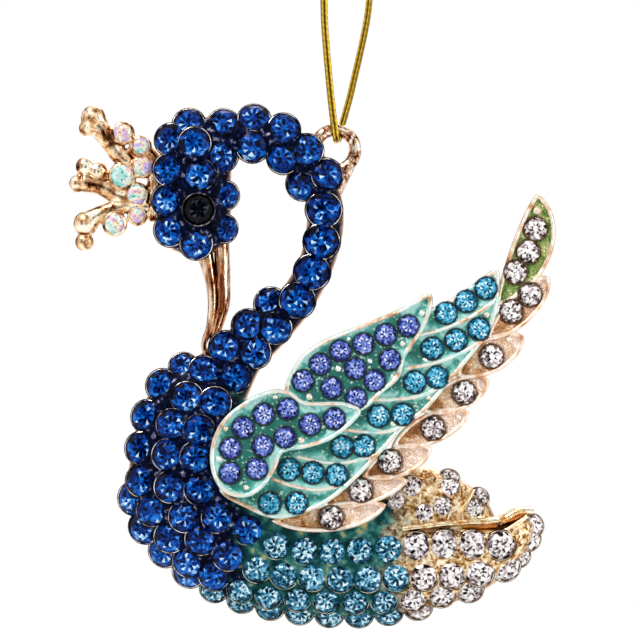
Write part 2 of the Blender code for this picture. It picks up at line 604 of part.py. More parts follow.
def build_casting(collets, seats):
    casting = dome("swan_casting", BODY_OUTLINE, BODY_SPINE, SIDE_EDGE, BODY_FRONT, BACK)
    rump = dome("rump", RUMP_OUTLINE, RUMP_SPINE, SIDE_EDGE, RUMP_FRONT, BACK - BACK_STEP)
    neck = bar("neck", NECK_GUIDE, SIDE_EDGE, NECK_FRONT, BACK - 2 * BACK_STEP)
    head = dome("head", HEAD_OUTLINE, HEAD_SPINE, SIDE_EDGE, HEAD_FRONT, BACK - BACK_STEP, per_span=2)
    boolean(casting, [rump, neck, head], "UNION")
    stones = fused_stones(Surface(casting))
    boolean(casting, small_forms() + wing_forms() + collets + stones, "UNION")
    hollow = dome("hollow", BODY_OUTLINE, BODY_SPINE, HOLLOW_EDGE, BACK - HOLLOW_DEPTH, BACK + HOLLOW_DEPTH,
                  inset=BODY_WALL)
    boolean(casting, [hollow] + seats, "DIFFERENCE")
    merge_flat_faces(casting)
    return casting


def disc(name, x, z, radius, front, thickness):
    bm = bmesh.new()
    rings = []
    for y in (front + thickness, front):
        rings.append([(x + radius * math.cos(a), y, z + radius * math.sin(a))
                      for a in (2 * math.pi * i / STONE_SIDES for i in range(STONE_SIDES))])
    bridge(bm, rings)
    return make_object(name, bm)


def cord_route():
    """Both strands and the turn through the ring, from one cut end at the knot to the other."""
    middle = RING_HOLE_RADIUS + RING_WIRE / 2
    reach = RING_WIRE / 2 + CORD_DIAMETER / 2 + CORD_CLEARANCE
    slant = reach * math.sqrt(0.5)
    left, right = CORD_SIDES
    wrap = [(CORD_MEETING, -reach), (middle, -reach), (middle - slant, -slant), (middle - reach, 0),
            (middle - slant, slant), (middle, reach), (CORD_MEETING, reach)]
    turn = [(x, z, y) for x, (z, y) in zip(CORD_TURN_ACROSS, wrap)]
    near, far = [[(x, CORD_TOP + drop, y) for x, drop, y in side] for side in CORD_SHOULDERS]
    ends = [(KNOT_CENTRE + side * CORD_END_OFFSET, CORD_TOP, 0) for side in (-1, 1)]
    route = ends[:1] + near + left + turn + right + far + ends[1:]
    return [(x, y, z) for x, z, y in route]


def build_cord():
    points = curve_through(cord_route(), 3)
    curve = bpy.data.curves.new("hanging_cord", "CURVE")
    curve.dimensions = "3D"
    curve.bevel_depth = CORD_DIAMETER / 2 * MM
    curve.bevel_resolution = 2
    curve.use_fill_caps = True
    spline = curve.splines.new("POLY")
    spline.points.add(len(points) - 1)
    for point, place in zip(spline.points, points):
        point.co = (*(place * MM), 1.0)
    cord = bpy.data.objects.new("hanging_cord", curve)
    bpy.context.scene.collection.objects.link(cord)
    return cord


def build_knot():
    """A barrel knot with three turns, just above the cord's two ends, and two cut tails."""
    base = CORD_TOP + KNOT_GAP
    rings = []
    for share, height in KNOT_PROFILE:
        radius = share * KNOT_WIDTH / 2
        rings.append([(KNOT_CENTRE + radius * math.cos(a), radius * math.sin(a) * KNOT_FLATTENING,
                       base + height * KNOT_HEIGHT)
                      for a in (2 * math.pi * i / KNOT_SIDES for i in range(KNOT_SIDES))])
    bm = bmesh.new()
    bridge(bm, rings)
    knot = make_object("cord_knot", bm)
    tails = []
    for lean in (-1, 1):
        rings = []
        for out, height in KNOT_TAIL:
            centre = Vector((KNOT_CENTRE + lean * out, 0, base + KNOT_HEIGHT + height))
            rings.append([centre + Vector((math.cos(a), math.sin(a), 0)) * CORD_DIAMETER / 2
                          for a in (2 * math.pi * i / TAIL_SIDES for i in range(TAIL_SIDES))])
        bm = bmesh.new()
        bridge(bm, rings)
        tails.append(make_object("tail", bm))
    boolean(knot, tails[:1], "UNION")
    boolean(knot, tails[1:], "UNION")
    return knot


def main():
    clear_scene()
    gold = make_material("rose_gold", (0.83, 0.56, 0.42), 1.0, 0.22)
    looks = {"lilac": make_material("lilac_glass", (0.45, 0.48, 0.95), 0.3, 0.06),
             "aqua": make_material("aqua_glass", (0.10, 0.62, 0.82), 0.3, 0.06),
             "clear": make_material("clear_glass", (0.88, 0.86, 0.88), 0.3, 0.06),
             "crown": make_material("opal_glass", (0.85, 0.84, 0.90), 0.2, 0.1),
             "eye": make_material("black_glass", (0.01, 0.01, 0.012), 0.2, 0.05)}
    thread = make_material("gold_cord", (0.75, 0.58, 0.15), 0.6, 0.35)
    stones, seats, collets = separate_stones()
    casting = build_casting(collets, seats)
    casting.data.materials.clear()
    casting.data.materials.append(gold)
    casting.data.shade_smooth()
    casting.data.set_sharp_from_angle(angle=SHARP_ANGLE)
    for stone in stones:
        stone.data.materials.append(looks[stone.name.split("_")[0]])
    for thing in (build_cord(), build_knot()):
        thing.data.materials.append(thread)


main()
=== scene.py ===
# %% [markdown]
# # A swan ornament in rose gold, enamel and cut glass
# The real thing is one flat-backed casting, plated rose gold. Enamel fills the recesses of its wing, about
# 160 foil-backed glass stones are glued over the rest, and a gold cord goes through a ring behind the head.
# The frame holds each piece at its real size, so everything below is placed from it. We work in
# millimetres, as a jeweller does, and turn them into metres when a mesh is made.

# %% Load the frame
import json
import math

import bmesh
import bpy
import numpy as np
from mathutils import Matrix, Vector
from mathutils.bvhtree import BVHTree
from mathutils.geometry import delaunay_2d_cdt

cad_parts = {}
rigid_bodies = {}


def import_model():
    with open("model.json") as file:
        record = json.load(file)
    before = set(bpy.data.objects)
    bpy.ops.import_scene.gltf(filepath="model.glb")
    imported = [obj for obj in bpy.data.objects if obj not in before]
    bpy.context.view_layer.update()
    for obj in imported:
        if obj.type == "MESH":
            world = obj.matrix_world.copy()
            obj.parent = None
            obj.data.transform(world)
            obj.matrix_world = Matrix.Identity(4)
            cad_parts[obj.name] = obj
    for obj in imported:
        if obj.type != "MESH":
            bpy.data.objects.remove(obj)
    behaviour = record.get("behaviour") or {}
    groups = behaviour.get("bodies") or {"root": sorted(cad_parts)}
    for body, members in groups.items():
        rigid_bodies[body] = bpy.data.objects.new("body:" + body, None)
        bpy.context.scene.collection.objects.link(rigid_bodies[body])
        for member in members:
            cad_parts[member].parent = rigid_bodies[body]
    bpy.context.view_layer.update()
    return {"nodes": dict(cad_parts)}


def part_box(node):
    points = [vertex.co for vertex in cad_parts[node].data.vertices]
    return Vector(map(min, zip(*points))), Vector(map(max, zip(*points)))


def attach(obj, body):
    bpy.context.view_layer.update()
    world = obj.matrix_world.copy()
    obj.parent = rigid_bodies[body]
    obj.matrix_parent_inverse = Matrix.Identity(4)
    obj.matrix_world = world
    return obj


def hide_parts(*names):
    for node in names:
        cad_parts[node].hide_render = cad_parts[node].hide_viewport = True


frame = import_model()
MM = 0.001
UP = Vector((0, 0, 1))
FRONT = Vector((0, -1, 0))
print("nodes in the frame:", len(frame["nodes"]))

# %% [markdown]
# ## Camera
# A product photographer stands well back with a long lens, so that the wing, which is nearest, doesn't
# look larger than the head. A lens of 400 mm at 889 mm shows a field 80 mm wide.

# %% Camera
PHOTO_PIXELS_PER_MM = 8.0
PHOTO_SIZE = 640
RING_PIXEL = (335.0, 150.0)
LENS = 400.0
SENSOR = 36.0


def add_object(name, data):
    """Put a new object in the scene."""
    made = bpy.data.objects.new(name, data)
    bpy.context.scene.collection.objects.link(made)
    return made


view_width = PHOTO_SIZE / PHOTO_PIXELS_PER_MM
camera_distance = view_width * LENS / SENSOR
aim = Vector(((PHOTO_SIZE / 2 - RING_PIXEL[0]) / PHOTO_PIXELS_PER_MM, 0,
              (RING_PIXEL[1] - PHOTO_SIZE / 2) / PHOTO_PIXELS_PER_MM))
camera = add_object("camera", bpy.data.cameras.new("camera"))
camera.data.lens = LENS
camera.data.sensor_width = SENSOR
camera.data.clip_start = 0.01
camera.location = (aim + FRONT * camera_distance) * MM
camera.rotation_euler = (math.radians(90), 0, 0)
bpy.context.scene.camera = camera
bpy.context.scene.view_settings.view_transform = "Standard"
print("camera distance in mm:", round(camera_distance))

# %% [markdown]
# ## Helpers for curves and meshes
# Outlines are a few points with a smooth curve through them. A Catmull-Rom curve passes through its own
# points, so the numbers that we type are places on the real edge.


# %% Curves and meshes
SMOOTH_ANGLE = 40


def curve_through(points, per_span, closed=False):
    """Points along a smooth curve through the given ones; each may hold any number of values."""
    knots = [Vector(p) for p in points]
    spans = len(knots) if closed else len(knots) - 1
    if spans == 0:
        return knots

    def at(i):
        return knots[i % len(knots) if closed else min(max(i, 0), len(knots) - 1)]

    curve = []
    for i in range(spans):
        before, a, b, after = at(i - 1), at(i), at(i + 1), at(i + 2)
        for k in range(per_span):
            t = k / per_span
            curve.append(0.5 * (2 * a + (b - before) * t + (2 * before - 5 * a + 4 * b - after) * t ** 2
                                + (3 * a - before - 3 * b + after) * t ** 3))
    return curve if closed else curve + [knots[-1]]


def evenly_along(points, count):
    """Evenly spaced places along the smooth curve through the points."""
    curve = curve_through(points, 12)
    if count == 1:
        return [curve[0]]
    reach = [0.0]
    for a, b in zip(curve, curve[1:]):
        reach.append(reach[-1] + (b - a).length)
    places = []
    for k in range(count):
        goal = reach[-1] * k / (count - 1)
        i = max(j for j in range(len(reach) - 1) if reach[j] <= goal + 1e-9)
        places.append(curve[i].lerp(curve[i + 1], (goal - reach[i]) / (reach[i + 1] - reach[i])))
    return places


def bridge(bm, rings, close_ends=True):
    """Join rings of equal size into one skin, and cap its two ends."""
    made = [[bm.verts.new(p) for p in ring] for ring in rings]
    size = len(made[0])
    for near, far in zip(made, made[1:]):
        for i in range(size):
            bm.faces.new((near[i], near[(i + 1) % size], far[(i + 1) % size], far[i]))
    if close_ends:
        bm.faces.new(made[0])
        bm.faces.new(list(reversed(made[-1])))


def mesh_object(name, bm):
    """Turn a finished mesh into an object, its numbers as they are."""
    mesh = bpy.data.meshes.new(name)
    bm.to_mesh(mesh)
    bm.free()
    return add_object(name, mesh)


def shade(piece, angle=SMOOTH_ANGLE):
    """Shade a piece smooth, but leave an edge where its faces meet at more than the angle."""
    piece.data.shade_smooth()
    piece.data.set_sharp_from_angle(angle=math.radians(angle))


def new_piece(name, bm, smooth=SMOOTH_ANGLE):
    """A mesh in millimetres becomes an object in metres, its faces pointing out, smooth below an angle."""
    bmesh.ops.recalc_face_normals(bm, faces=bm.faces)
    bmesh.ops.scale(bm, vec=(MM, MM, MM), verts=bm.verts)
    piece = mesh_object(name, bm)
    if smooth:
        shade(piece, smooth)
    return piece


def bake_modifiers(piece):
    """Turn a piece and its modifiers into one plain mesh."""
    bpy.context.view_layer.update()
    mesh = bpy.data.meshes.new_from_object(piece.evaluated_get(bpy.context.evaluated_depsgraph_get()))
    piece.modifiers.clear()
    piece.data = mesh
    return piece


def join_pieces(name, parts):
    """One object from several, kept as they lie."""
    bm = bmesh.new()
    for part in parts:
        bm.from_mesh(part.data)
        bpy.data.objects.remove(part)
    return mesh_object(name, bm)


def combine(target, tools, operation):
    """Unite or cut the target with the tools, and remove the tools."""
    group = bpy.data.collections.new("tools")
    for tool in tools:
        group.objects.link(tool)
    modifier = target.modifiers.new(operation, "BOOLEAN")
    modifier.solver = "EXACT"
    modifier.operation = operation
    modifier.operand_type = "COLLECTION"
    modifier.collection = group
    bake_modifiers(target)
    for tool in tools:
        bpy.data.objects.remove(tool)
    bpy.data.collections.remove(group)


def store(piece, name, values):
    """Keep a number for each point of a piece, where its material can read it."""
    layer = piece.data.attributes.new(name, "FLOAT", "POINT")
    layer.data.foreach_set("value", np.asarray(values, np.float32))


def rows_of(items, key):
    """A property with three numbers, such as a place or a normal, as one row for each item."""
    values = np.empty(len(items) * 3, np.float32)
    items.foreach_get(key, values)
    return values.reshape(-1, 3)


# %% [markdown]
# ## Helpers for materials
# A screen's colour code isn't linear and the shader wants it linear, so we decode it once here. Constants
# go on the shader's own sockets; nodes are only for what changes over the surface. One call adds a node and
# fills its inputs, in any kind of node tree.


# %% Materials
def colour(code):
    """A screen colour such as '1b4fd0' as the linear red, green, blue and alpha that shaders use."""
    parts = [int(code[i:i + 2], 16) / 255 for i in (0, 2, 4)]
    return (*[p / 12.92 if p <= 0.04045 else ((p + 0.055) / 1.055) ** 2.4 for p in parts], 1.0)


def add_node(tree, kind, inputs=None, **settings):
    """Add a node. Each input gets a plain value, a colour code, or the socket that feeds it."""
    node = tree.nodes.new(kind)
    for key, value in settings.items():
        setattr(node, key, value)
    for key, value in (inputs or {}).items():
        socket = node.inputs[key]
        if isinstance(value, bpy.types.NodeSocket):
            tree.links.new(value, socket)
        else:
            socket.default_value = colour(value) if socket.type == "RGBA" else value
    return node


class Finish:
    """A Principled material, with short calls that add and join nodes."""

    def __init__(self, name, roughness=0.25, metallic=0.0, coat=0.0, specular=0.5, base=None):
        self.material = bpy.data.materials.new(name)
        self.material.use_nodes = True
        self.tree = self.material.node_tree
        self.shader = self.tree.nodes["Principled BSDF"]
        for socket, value in (("Roughness", roughness), ("Metallic", metallic), ("Coat Weight", coat),
                              ("Coat Roughness", 0.04), ("Specular IOR Level", specular)):
            self.shader.inputs[socket].default_value = value
        if base:
            self.shader.inputs["Base Color"].default_value = colour(base)

    def node(self, kind, inputs=None, **settings):
        return add_node(self.tree, "ShaderNode" + kind, inputs, **settings)

    def feed(self, name, source):
        """Let a source decide one of the shader's own values."""
        self.tree.links.new(source, self.shader.inputs[name])

    def place(self, scale):
        """Object coordinates scaled so that one unit is one over scale millimetres."""
        scale = scale if isinstance(scale, tuple) else (scale,) * 3
        inputs = {"Vector": self.node("TexCoord").outputs["Object"], "Scale": [v / MM for v in scale]}
        return self.node("Mapping", inputs).outputs["Vector"]

    def noise(self, scale, detail=3.0, distortion=0.0):
        inputs = {"Vector": self.place(scale), "Scale": 1.0, "Detail": detail, "Distortion": distortion}
        return self.node("TexNoise", inputs).outputs["Fac"]

    def voronoi(self, scale, randomness=1.0):
        """Small cells of space, which differ in colour and know the distance to their middle."""
        inputs = {"Vector": self.place(scale), "Scale": 1.0, "Randomness": randomness}
        return self.node("TexVoronoi", inputs).outputs

    def cells(self, size):
        """A random value for each small cell of space, its size in millimetres."""
        return self.node("SeparateColor", {0: self.voronoi(1 / size)["Color"]}).outputs[0]

    def bands(self, vector, scale, distortion):
        """Slanting stripes, as twisted thread has."""
        inputs = {"Vector": vector, "Scale": scale, "Distortion": distortion}
        return self.node("TexWave", inputs, wave_type="BANDS", bands_direction="DIAGONAL").outputs["Fac"]

    def attribute(self, name):
        return self.node("Attribute", attribute_name=name).outputs["Fac"]

    def ramp(self, source, stops):
        """Turn a value into a colour that runs through the stops, each a position and a code."""
        ramp = self.node("ValToRGB", {"Fac": source})
        elements = ramp.color_ramp.elements
        while len(elements) < len(stops):
            elements.new(0.5)
        for element, (position, code) in zip(elements, stops):
            element.position = position
            element.color = colour(code)
        return ramp.outputs["Color"]

    def mix(self, factor, first, second, mode="MIX"):
        inputs = {0: factor, 6: first, 7: second}
        return self.node("Mix", inputs, data_type="RGBA", blend_type=mode).outputs[2]

    def maths(self, operation, *values):
        return self.node("Math", dict(enumerate(values)), operation=operation).outputs[0]

    def span(self, source, low, high, out_low=0.0, out_high=1.0):
        """Map the range from low to high onto another one; outside it the nearer end holds."""
        inputs = {"Value": source, "From Min": low, "From Max": high, "To Min": out_low, "To Max": out_high}
        return self.node("MapRange", inputs).outputs["Result"]

    def bump(self, height, distance, strength=1.0):
        inputs = {"Height": height, "Distance": distance * MM, "Strength": strength}
        self.feed("Normal", self.node("Bump", inputs).outputs["Normal"])

    def paint(self, source):
        self.feed("Base Color", source)


def dress(piece, *finishes):
    """Give a piece its finishes in place of what it had."""
    piece.data.materials.clear()
    for finish in finishes:
        piece.data.materials.append(finish.material)


# %% [markdown]
# ## Plain surroundings
# Polished metal and cut glass show what stands round them. The world is white where the camera and the
# reflections look at it, and softer as a lamp. Dark cards beside, above, below and behind the ornament
# and round the lens, seen by reflections alone, give the metal and the glass the dark parts that jewellers'
# photographs have.


# %% World, floor, cards and lamps
LAMP_LEVEL = 0.42
FLOOR_DROP = 66.0
FLOOR_SIZE = 420

world = bpy.data.worlds.new("studio")
bpy.context.scene.world = world
world.use_nodes = True
sky = world.node_tree.nodes["Background"]
sky_tree = world.node_tree
rays = add_node(sky_tree, "ShaderNodeLightPath").outputs
seen = rays["Is Camera Ray"]
for kind in ("Is Glossy Ray", "Is Transmission Ray"):
    seen = add_node(sky_tree, "ShaderNodeMath", {0: seen, 1: rays[kind]}, operation="MAXIMUM").outputs[0]
level = add_node(sky_tree, "ShaderNodeMapRange", {"Value": seen, "To Min": LAMP_LEVEL, "To Max": 1.0})
sky_tree.links.new(level.outputs["Result"], sky.inputs["Strength"])
sky.inputs["Color"].default_value = (1, 1, 1, 1)


def panel(name, centre, width, height, turn, finish):
    """A flat rectangle that faces along its own +Z, placed in millimetres; it is only stage."""
    bm = bmesh.new()
    corners = [(x * width / 2, y * height / 2, 0) for x, y in ((-1, -1), (1, -1), (1, 1), (-1, 1))]
    bm.faces.new([bm.verts.new(c) for c in corners])
    bm.transform(Matrix.Translation(centre) @ turn.to_4x4())
    made = new_piece(name, bm, smooth=0)
    dress(made, finish)
    return made


def facing(target, place):
    """The turn that points an object's +Z from a place to a target."""
    return (Vector(target) - Vector(place)).to_track_quat("Z", "Y")


panel("floor", (0, 0, -FLOOR_DROP), FLOOR_SIZE, FLOOR_SIZE, Matrix.Identity(3),
      Finish("pale floor", roughness=0.8, base="f4f4f2"))
card_paint = Finish("dark card", roughness=1.0, base="0c0a0a")
CARDS = [((-260, -330, 60), 110, 420), ((300, -300, 20), 130, 420), ((0, -420, -250), 460, 120),
         ((0, -420, 0), 150, 150), ((0, -190, 380), 340, 180), ((-240, 330, 150), 150, 420),
         ((280, 340, -60), 160, 380)]
for number, (place, width, height) in enumerate(CARDS, 1):
    card = panel(f"card_{number}", place, width, height, facing(aim, place).to_matrix(), card_paint)
    card.visible_camera = card.visible_diffuse = card.visible_shadow = card.visible_transmission = False

LAMPS = [("key", (-200, -220, 390), 2.0, 200), ("fill", (420, -200, 60), 0.8, 240),
         ("rim", (60, 260, 240), 0.6, 200)]
for name, place, watts, size in LAMPS:
    lamp = add_object(name, bpy.data.lights.new(name, "AREA"))
    lamp.data.energy = watts
    lamp.data.size = size * MM
    lamp.location = Vector(place) * MM
    lamp.rotation_euler = facing(place, aim).to_euler()
print("lamps:", len(LAMPS), "cards:", len(CARDS))

# %% [markdown]
# ## The cord
# The cord is two gold threads laid side by side, with a crease down its middle. It comes down on the
# left in front of the ring, turns up through the hole and leaves on the right behind it. Both ends meet in
# a knot above the picture. Its section is swept along the route, with the two threads kept side by side as
# the camera sees them. Each point of it stores how far it lies from the middle line, which paints shade into
# the crease and painted highlights on the two threads' crowns.

# %% Cord
RING_HOLE_RADIUS = 1.73
RING_WIRE = 1.56
CORD_DIAMETER = 0.9
CORD_CLEARANCE = 0.2
CORD_TOP = 26.5
KNOT_CENTRE = 1.35
CORD_END_OFFSET = 0.35
CORD_STEPS = 8
THREAD_RADIUS = 0.235
THREAD_OFFSET = 0.215
THREAD_ARC = 140

ring_middle = RING_HOLE_RADIUS + RING_WIRE / 2
cord_reach = RING_WIRE / 2 + CORD_DIAMETER / 2 + CORD_CLEARANCE
slant = cord_reach * math.sqrt(0.5)
cord_route = [(KNOT_CENTRE - CORD_END_OFFSET, CORD_TOP, 0), (0.2, CORD_TOP - 1.0, 0),
              (-1.2, CORD_TOP - 4.0, -0.2), (-1.35, 17.0, -0.5), (-0.85, 10.0, -1.1),
              (-0.3, 4.6, -cord_reach), (0.0, ring_middle, -cord_reach),
              (0.15, ring_middle - slant, -slant), (0.3, ring_middle - cord_reach, 0),
              (0.5, ring_middle - slant, slant), (0.7, ring_middle, cord_reach), (1.3, 4.6, cord_reach),
              (2.3, 8.5, 1.0), (4.1, 17.0, 0.5), (4.2, CORD_TOP - 4.0, 0.2), (2.5, CORD_TOP - 1.0, 0),
              (KNOT_CENTRE + CORD_END_OFFSET, CORD_TOP, 0)]
cord_path = curve_through([(x, y, z) for x, z, y in cord_route], CORD_STEPS)


def thread_section(count=12):
    """The outline of two round threads side by side, as (across, through) shares of the cord."""
    section = []
    for sign in (1, -1):
        for k in range(count):
            angle = math.radians(THREAD_ARC * (2 * k / (count - 1) - 1))
            section.append((sign * (THREAD_OFFSET + THREAD_RADIUS * math.cos(angle)),
                            sign * THREAD_RADIUS * math.sin(angle)))
    return section


def direction_at(path, i):
    """Which way a path runs at one of its points."""
    return (path[min(i + 1, len(path) - 1)] - path[max(i - 1, 0)]).normalized()


def sweep_flat(name, path, section):
    """Sweep a section along a path, its wide side kept across the view, with the run in a UV map."""
    rings, runs, run = [], [], 0.0
    side = Vector((1, 0, 0))
    for i, here in enumerate(path):
        along = direction_at(path, i)
        side = (side - along * side.dot(along)).normalized()
        through = along.cross(side)
        rings.append([here + side * a + through * b for a, b in section])
        run += (here - path[i - 1]).length if i else 0.0
        runs.append(run)
    bm = bmesh.new()
    bridge(bm, rings)
    piece = new_piece(name, bm, smooth=50)
    layer = piece.data.uv_layers.new(name="UVMap")
    size = len(section)
    for loop in piece.data.loops:
        ring, spot = divmod(loop.vertex_index, size)
        layer.data[loop.index].uv = (spot / size, runs[ring])
    widest = max(abs(a) for a, _ in section)
    store(piece, "across", [abs(a) / widest for a, _ in section] * len(path))
    return piece


cord = sweep_flat("gold_cord", cord_path, thread_section())
gold_thread = Finish("gold thread", roughness=0.24, metallic=1.0)
uv = gold_thread.node("UVMap", uv_map="UVMap").outputs["UV"]
strands = gold_thread.bands(uv, 0.8, 3.0)
# Painted shade in the crease down the middle and painted highlights on the threads' crowns, by distance from
# the middle line.
painted_crease_shade_and_highlights = gold_thread.ramp(gold_thread.attribute("across"), [
    (0.1, "6a440a"), (0.3, "c4961a"), (0.5, "fae468"), (0.72, "c8a222"), (0.95, "987414")])
fibres = gold_thread.ramp(strands, [(0.0, "dcd8d0"), (1.0, "ffffff")])
gold_thread.paint(gold_thread.mix(1.0, painted_crease_shade_and_highlights, fibres, "MULTIPLY"))
gold_thread.bump(strands, 0.01, 0.2)
dress(cord, gold_thread)

# %% [markdown]
# ## The knot
# The loop is closed by a small barrel knot: three turns of the cord round both strands, with two cut tails
# above it. It sits above the photograph, but it shows from every other view.

# %% Knot
KNOT_GAP = 0.3
KNOT_HEIGHT = 3.0
KNOT_WIDTH = 2.7
KNOT_TURNS = 3
KNOT_TURN_STEPS = 20
KNOT_FLATTENING = 0.8
TAIL_LENGTH = 3.2
TAIL_THICKNESS = 0.95

knot_base = CORD_TOP + KNOT_GAP


def knot_coil():
    """A tube wound round the two strands."""
    radius = KNOT_WIDTH / 2 - CORD_DIAMETER / 2
    path = []
    steps = KNOT_TURNS * KNOT_TURN_STEPS
    for k in range(steps + 1):
        share = k / steps
        angle = 2 * math.pi * KNOT_TURNS * share
        height = knot_base + CORD_DIAMETER / 2 + (KNOT_HEIGHT - CORD_DIAMETER) * share
        across = radius * math.cos(angle)
        through = radius * math.sin(angle) * KNOT_FLATTENING
        path.append(Vector((KNOT_CENTRE + across, through, height)))
    return path


def tube(name, path, radius, sides=10):
    """A plain round tube along a path."""
    rings = []
    side = Vector((0, 1, 0.2))
    for i, here in enumerate(path):
        along = direction_at(path, i)
        side = (side - along * side.dot(along)).normalized()
        other = along.cross(side)
        rings.append([here + (side * math.cos(a) + other * math.sin(a)) * radius
                      for a in (2 * math.pi * k / sides for k in range(sides))])
    bm = bmesh.new()
    bridge(bm, rings)
    return new_piece(name, bm, smooth=60)


knot_parts = [tube("coil", knot_coil(), CORD_DIAMETER / 2)]
for lean in (-1, 1):
    foot = Vector((KNOT_CENTRE + lean * CORD_END_OFFSET, 0, knot_base))
    tail = [foot, foot + UP * KNOT_HEIGHT, foot + Vector((lean * 0.5, 0, KNOT_HEIGHT + TAIL_LENGTH / 2)),
            foot + Vector((lean * 1.3, 0, KNOT_HEIGHT + TAIL_LENGTH))]
    knot_parts.append(tube("tail", curve_through(tail, 5), CORD_DIAMETER / 2 * TAIL_THICKNESS))
knot = join_pieces("barrel_knot", knot_parts)
twisted = Finish("twisted gold thread", roughness=0.3, metallic=1.0)
lay = twisted.bands(twisted.place(0.9), 1.0, 2.0)
twisted.paint(twisted.ramp(lay, [(0.0, "7a5510"), (0.4, "c89b1e"), (0.8, "f0cf55")]))
twisted.bump(lay, 0.06, 0.6)
dress(knot, twisted)
print("knot faces:", len(knot.data.polygons))

# %% [markdown]
# ## The swan's metal body
# Breast, belly and tail are one pillow with a flat back that is hollowed out, as such castings are to save
# metal. The rump is a lower pillow, the head a small one, and the neck a D-shaped bar. They are united and
# hollowed with Booleans, because the real one is a single pour of metal.

# %% Body, rump, neck and head
BACK = 1.0
BODY_FRONT = -5.2
RUMP_FRONT = -4.0
HEAD_FRONT = -3.6
NECK_FRONT = -3.0
BEAK_FRONT = -1.9
CROWN_FRONT = -1.7
SIDE_EDGE = -0.4
HOLLOW_DEPTH = 3.0
HOLLOW_EDGE = 0.4
BODY_WALL = 1.7
DOME_POWER = 2.4
DOME_SHARES = (0.0, 0.02, 0.05, 0.1, 0.17, 0.27, 0.4, 0.55, 0.7, 0.85)
BACK_STEP = 0.1

BODY_OUTLINE = [(-16.5, -26.2), (-19.7, -26.5), (-22.6, -29.4), (-24.5, -33.4), (-25.5, -38), (-25.9, -42.6),
                (-24.8, -46.7), (-22, -50.3), (-18.5, -53.3), (-14.2, -56), (-8.1, -57.7), (-2, -58.5),
                (3.5, -58.6), (8.6, -58), (13.6, -56.9), (18.2, -55.2), (21.8, -52.6), (24.4, -49.5),
                (25.1, -46.8), (23.6, -45.9), (20, -46.9), (14, -47.2), (9, -46.5), (5, -41), (0, -36.5),
                (-6, -33), (-11, -31), (-13, -28)]
BODY_SPINE = [(-15, -39), (-12, -45), (2, -49.5), (20.5, -48.6)]
RUMP_OUTLINE = [(4, -42), (8, -39.8), (11.5, -39.6), (15, -40.9), (18.2, -43), (19.7, -45.3), (20.3, -48),
                (12, -50), (4, -49)]
RUMP_SPINE = [(8, -45.5), (14.5, -46)]
HEAD_OUTLINE = [(-21.9, -3), (-21.6, 1.2), (-19, 3.5), (-15, 4.2), (-13, 2), (-13, -4), (-13.1, -9),
                (-14.2, -12.2), (-17.3, -13.3), (-20.9, -12), (-22.1, -8)]
HEAD_SPINE = [(-17.5, -0.5), (-17.5, -8.5)]
NECK_GUIDE = [(-15.5, 0.6, 2.6), (-10.2, 1.7, 2.7), (-6.3, 0.6, 2.7), (-3.3, -2.3, 2.6), (-1.5, -6, 2.3),
              (-1.3, -10, 2.3), (-2.5, -14.6, 2.2), (-4.9, -18.8, 2.3), (-8.3, -22.2, 2.8),
              (-11.8, -25.4, 3.2), (-14.6, -29.0, 4.2)]


def nearest_on_line(point, line):
    """The nearest place on a run of straight stretches."""
    best = None
    for a, b in zip(line, line[1:]):
        a, b = Vector(a), Vector(b)
        t = max(0.0, min(1.0, (point - a).dot(b - a) / (b - a).length_squared))
        place = a.lerp(b, t)
        if best is None or (place - point).length < (best - point).length:
            best = place
    return best


def dome_rise(share):
    return (1 - (1 - share) ** DOME_POWER) ** (1 / DOME_POWER)


def dome(name, outline, spine, edge, front, back, inset=0.0, per_span=4):
    """A pillow: a smooth outline that swells towards a line down its middle."""
    pairs = []
    for point in curve_through(outline, per_span, closed=True):
        middle = nearest_on_line(point, spine)
        pairs.append((point + (middle - point).normalized() * inset, middle))
    rings = [[(p.x, back, p.y) for p, _ in pairs]]
    for share in DOME_SHARES:
        y = edge + (front - edge) * dome_rise(share)
        rings.append([(q.x, y, q.y) for q in (p.lerp(m, share) for p, m in pairs)])
    bm = bmesh.new()
    bridge(bm, rings)
    return new_piece(name, bm)


def bar(name, guide, edge, front, back, per_span=5, steps=7, groove=None):
    """A D-shaped bar along a guide of (X, Z, half width), domed in front and flat behind.

    A groove is its place across the bar, its depth, and its width."""
    stations = curve_through(guide, per_span)
    section = []
    for k in range(-steps, steps + 1):
        share = math.sin(0.5 * math.pi * k / steps)
        y = edge + (front - edge) * dome_rise(1 - abs(share))
        if groove:
            y += groove[1] * math.exp(-((share - groove[0]) / groove[2]) ** 2)
        section.append((share, y))
    section += [(1, back), (-1, back)]
    rings = []
    for i, here in enumerate(stations):
        ahead = stations[min(i + 1, len(stations) - 1)] - stations[max(i - 1, 0)]
        side = Vector((-ahead.y, ahead.x)).normalized()
        places = [(Vector((here.x, here.y)) + side * here.z * share, y) for share, y in section]
        rings.append([(place.x, y, place.y) for place, y in places])
    bm = bmesh.new()
    bridge(bm, rings)
    return new_piece(name, bm)


body = dome("swan_body", BODY_OUTLINE, BODY_SPINE, SIDE_EDGE, BODY_FRONT, BACK)
rump = dome("rump", RUMP_OUTLINE, RUMP_SPINE, SIDE_EDGE, RUMP_FRONT, BACK - BACK_STEP)
neck = bar("neck", NECK_GUIDE, SIDE_EDGE, NECK_FRONT, BACK - 2 * BACK_STEP)
head = dome("head", HEAD_OUTLINE, HEAD_SPINE, SIDE_EDGE, HEAD_FRONT, BACK - BACK_STEP)
combine(body, [rump, neck, head], "UNION")
hollow = dome("hollow", BODY_OUTLINE, BODY_SPINE, HOLLOW_EDGE, BACK - HOLLOW_DEPTH, BACK + HOLLOW_DEPTH,
              inset=BODY_WALL)
combine(body, [hollow], "DIFFERENCE")
shade(body)
print("body faces:", len(body.data.polygons))

# %% [markdown]
# ## Where the stones sit
# A hand setter works in rows that follow the form. Each row is a curve with a number of stones on it. A ray
# from the front finds the metal under each place. Stones near the edge are turned partly to the front, as
# their drilled seats are, so that they make the scalloped outline of the swan.

